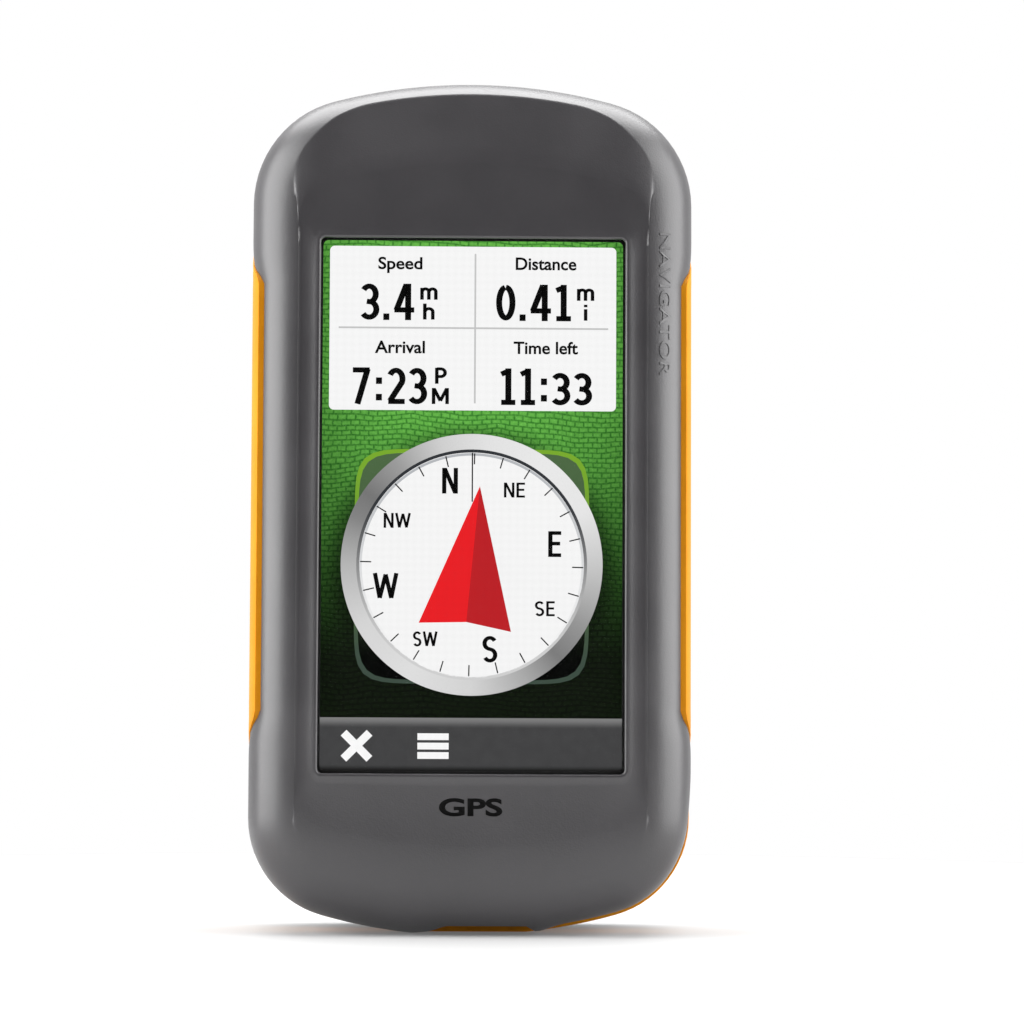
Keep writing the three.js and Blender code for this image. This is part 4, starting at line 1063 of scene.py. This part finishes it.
# ---- picture: compass -----------------------------------------------------------------
# A tinted backing plate, a ring drawn as turned metal, a white face with its ticks and
# letters, a lubber line from the top, and a two-tone red needle.
FACE_R = 18.85 * MM


def squircle(half):
    """A square about the dial with very round sides."""
    power, steps = 8, 96
    points = []
    for i in range(steps):
        a = 2 * math.pi * i / steps
        c, s = math.cos(a), math.sin(a)
        r = half / (abs(c) ** power + abs(s) ** power) ** (1 / power)
        points.append((DIAL_X + r * s, DIAL_Z - 0.3 * MM + r * c))
    return points


def plate_finish(name, top, bottom):
    """Tinted glass of the backing plate: one tone at its top, another below."""
    finish = Finish(name, UNLIT)
    rise = ((finish.z - DIAL_Z) / (19 * MM) + finish.noise(1.2 * MM) * 0.3).fade(-0.75, 1.15)
    finish.feed("Emission Color", finish.blend(rise, bottom, top))
    return finish.material


layer_piece("dial_plate", flat_shape(squircle(19.5 * MM)), 1,
            plate_finish("plate_tint", linear("4f6b46"), linear("020302")))
layer_piece("dial_plate_edge", frame_shape(squircle(19.6 * MM), squircle(18.95 * MM)), 2,
            plate_finish("plate_edge", linear("7cae30"), linear("3f4f44")))


def ring_finish():
    """Turned metal: light runs round the ring in two bright and two dark stretches."""
    finish = Finish("dial_ring", UNLIT)
    turn = finish.node("ShaderNodeMath", {"operation": "ARCTAN2"},
                       {0: finish.x - DIAL_X, 1: finish.z - DIAL_Z})
    share = turn / (2 * math.pi) + 0.5
    tones = ((0.0, "dcdcdc"), (0.08, "e8e8e8"), (0.17, "dedede"), (0.25, "bcbcbc"), (0.31, "878787"),
             (0.345, "777777"), (0.40, "a2a2a2"), (0.46, "d8d8d8"), (0.52, "ececec"), (0.60, "f4f4f4"),
             (0.68, "f0f0f0"), (0.75, "d0d0d0"), (0.83, "9a9a9a"), (0.88, "7e7e7e"), (0.93, "b0b0b0"),
             (1.0, "dcdcdc"))
    stops = [(spot, linear(tone)) for spot, tone in tones]
    ramp = finish.node("ShaderNodeValToRGB", {"stops": stops}, {0: share})
    lines = finish.noise(0.3 * MM, 2.0)
    finish.feed("Emission Color", finish.blend(lines * 0.12, ramp, linear("8c8c8c")))
    return finish.material


layer_piece("dial_ring", frame_shape(disc_points(DIAL_Z, FACE_R), disc_points(DIAL_Z, DIAL_R)), 3,
            ring_finish())
layer_piece("dial_face", flat_shape(disc_points(DIAL_Z, FACE_R)), 3, lit("dial_white", linear("fbfbfb")))


def rim_shadow_finish():
    """The shadow that the ring throws on the face: dark above, gone below."""
    finish = Finish("dial_rim_shadow", UNLIT)
    rise = ((finish.z - DIAL_Z) / DIAL_R + finish.noise(0.8 * MM) * 0.04).fade(-0.75, 0.55)
    finish.feed("Emission Color", finish.blend(rise, linear("d4d4d4"), linear("33363a")))
    return finish.material


layer_piece("dial_rim_shadow", frame_shape(disc_points(DIAL_Z, FACE_R - 0.1 * MM),
                                           disc_points(DIAL_Z, FACE_R + 0.42 * MM)), 4, rim_shadow_finish())
SOFT_Z = DIAL_Z - 0.12 * MM
layer_piece("dial_rim_soft", frame_shape(disc_points(SOFT_Z, FACE_R - 0.5 * MM),
                                         disc_points(SOFT_Z, FACE_R - 0.08 * MM)), 4,
            plate_finish("rim_soft", linear("b9bcc0"), linear("fbfbfb")))

TICKS = 24
TICK_TURN = math.radians(1.25)
TICK_R = FACE_R - 1.15 * MM
ticks = []
for i in range(TICKS):
    turn = 2 * math.pi * i / TICKS + TICK_TURN
    ticks.append(bar(DIAL_X + TICK_R * math.sin(turn), DIAL_Z + TICK_R * math.cos(turn),
                     1.85 * MM, 0.21 * MM, turn))
layer_piece("dial_ticks", join_shapes(ticks), 5, ink)
layer_piece("dial_lubber_line", flat_shape(bar(0.03 * MM, DIAL_Z + 14.6 * MM, 8.2 * MM, 0.22 * MM)), 6, ink)

LARGE_MARK, SMALL_MARK = 0.72, 0.42
for mark, width, height, x, z, pen in (
        ("N", 2.6, 4.3, -3.7, 14.0, LARGE_MARK), ("E", 2.25, 4.3, 13.9, 3.5, LARGE_MARK),
        ("S", 2.5, 4.4, 3.1, -14.1, LARGE_MARK), ("W", 4.1, 4.3, -14.35, -3.65, LARGE_MARK),
        ("NE", 3.6, 2.5, 7.1, 12.5, SMALL_MARK), ("SE", 3.4, 2.5, 12.25, -7.3, SMALL_MARK),
        ("SW", 4.05, 2.5, -7.7, -12.45, SMALL_MARK), ("NW", 4.5, 2.5, -12.5, 7.3, SMALL_MARK)):
    figures("dial_" + mark.lower(), mark, width * MM, height * MM, x * MM, DIAL_Z + z * MM, pen * MM, 5)

tip = (1.31 * MM, DIAL_Z + 13.1 * MM)
left_foot = (-8.8 * MM, DIAL_Z - 9.75 * MM)
notch = (-0.85 * MM, DIAL_Z - 9.6 * MM)
right_foot = (6.6 * MM, DIAL_Z - 11.2 * MM)
layer_piece("needle_left", flat_shape([tip, left_foot, notch]), 7, lit("needle_red", linear("ee2026")))
layer_piece("needle_right", flat_shape([tip, notch, right_foot]), 7, lit("needle_shade", linear("c02127")))

# ---- picture: button bar --------------------------------------------------------------
# A shaded grey strip along the bottom of the picture with a white cross and a menu sign.
# Behind it all is the display panel itself, fitted in its dark frame.
BAR_LOW = PICTURE_LOW
BAR_HIGH = SCREEN_MID - 35.45 * MM


def strip_finish():
    """Grey strip, lighter towards its top edge and dark along its foot."""
    finish = Finish("bar_grey", UNLIT)
    rise = (finish.z - BAR_LOW) / (BAR_HIGH - BAR_LOW)
    edge = rise.fade(0.8, 1.0)
    foot = 1 - rise.fade(0.0, 0.12)
    body = finish.blend(finish.noise(2 * MM), linear("3f3f40"), linear("4a4a4b"))
    lit_body = finish.blend(edge * 0.8, body, linear("8c8c8c"))
    finish.feed("Emission Color", finish.blend(foot, lit_body, linear("1c1c1c")))
    return finish.material


layer_piece("button_bar", flat_shape(rounded(-CLOTH_HALF_W, CLOTH_HALF_W, BAR_LOW - UNDER_BORDER, BAR_HIGH,
                                             0.1 * MM)), 8, strip_finish())
CROSS_X, CROSS_Z = -19.0 * MM, BAR_LOW + 4.1 * MM
MENU_X = -6.28 * MM
MENU_PITCH = 1.56 * MM
white = lit("picture_white", linear("ffffff"))
for i, turn in enumerate((45, -45)):
    stroke = bar(CROSS_X, CROSS_Z, 6.1 * MM, 1.35 * MM, math.radians(turn))
    layer_piece(f"cross_stroke_{i + 1}", flat_shape(stroke), 10 + i, white)
layer_piece("menu_strokes", join_shapes([
    bar(MENU_X, CROSS_Z + step * MENU_PITCH, 5.2 * MM, 1.12 * MM, math.pi / 2) for step in (-1, 0, 1)]),
    10, white)
refined("lcd_panel", "root", "display", dark_finish, 0.1 * MM)
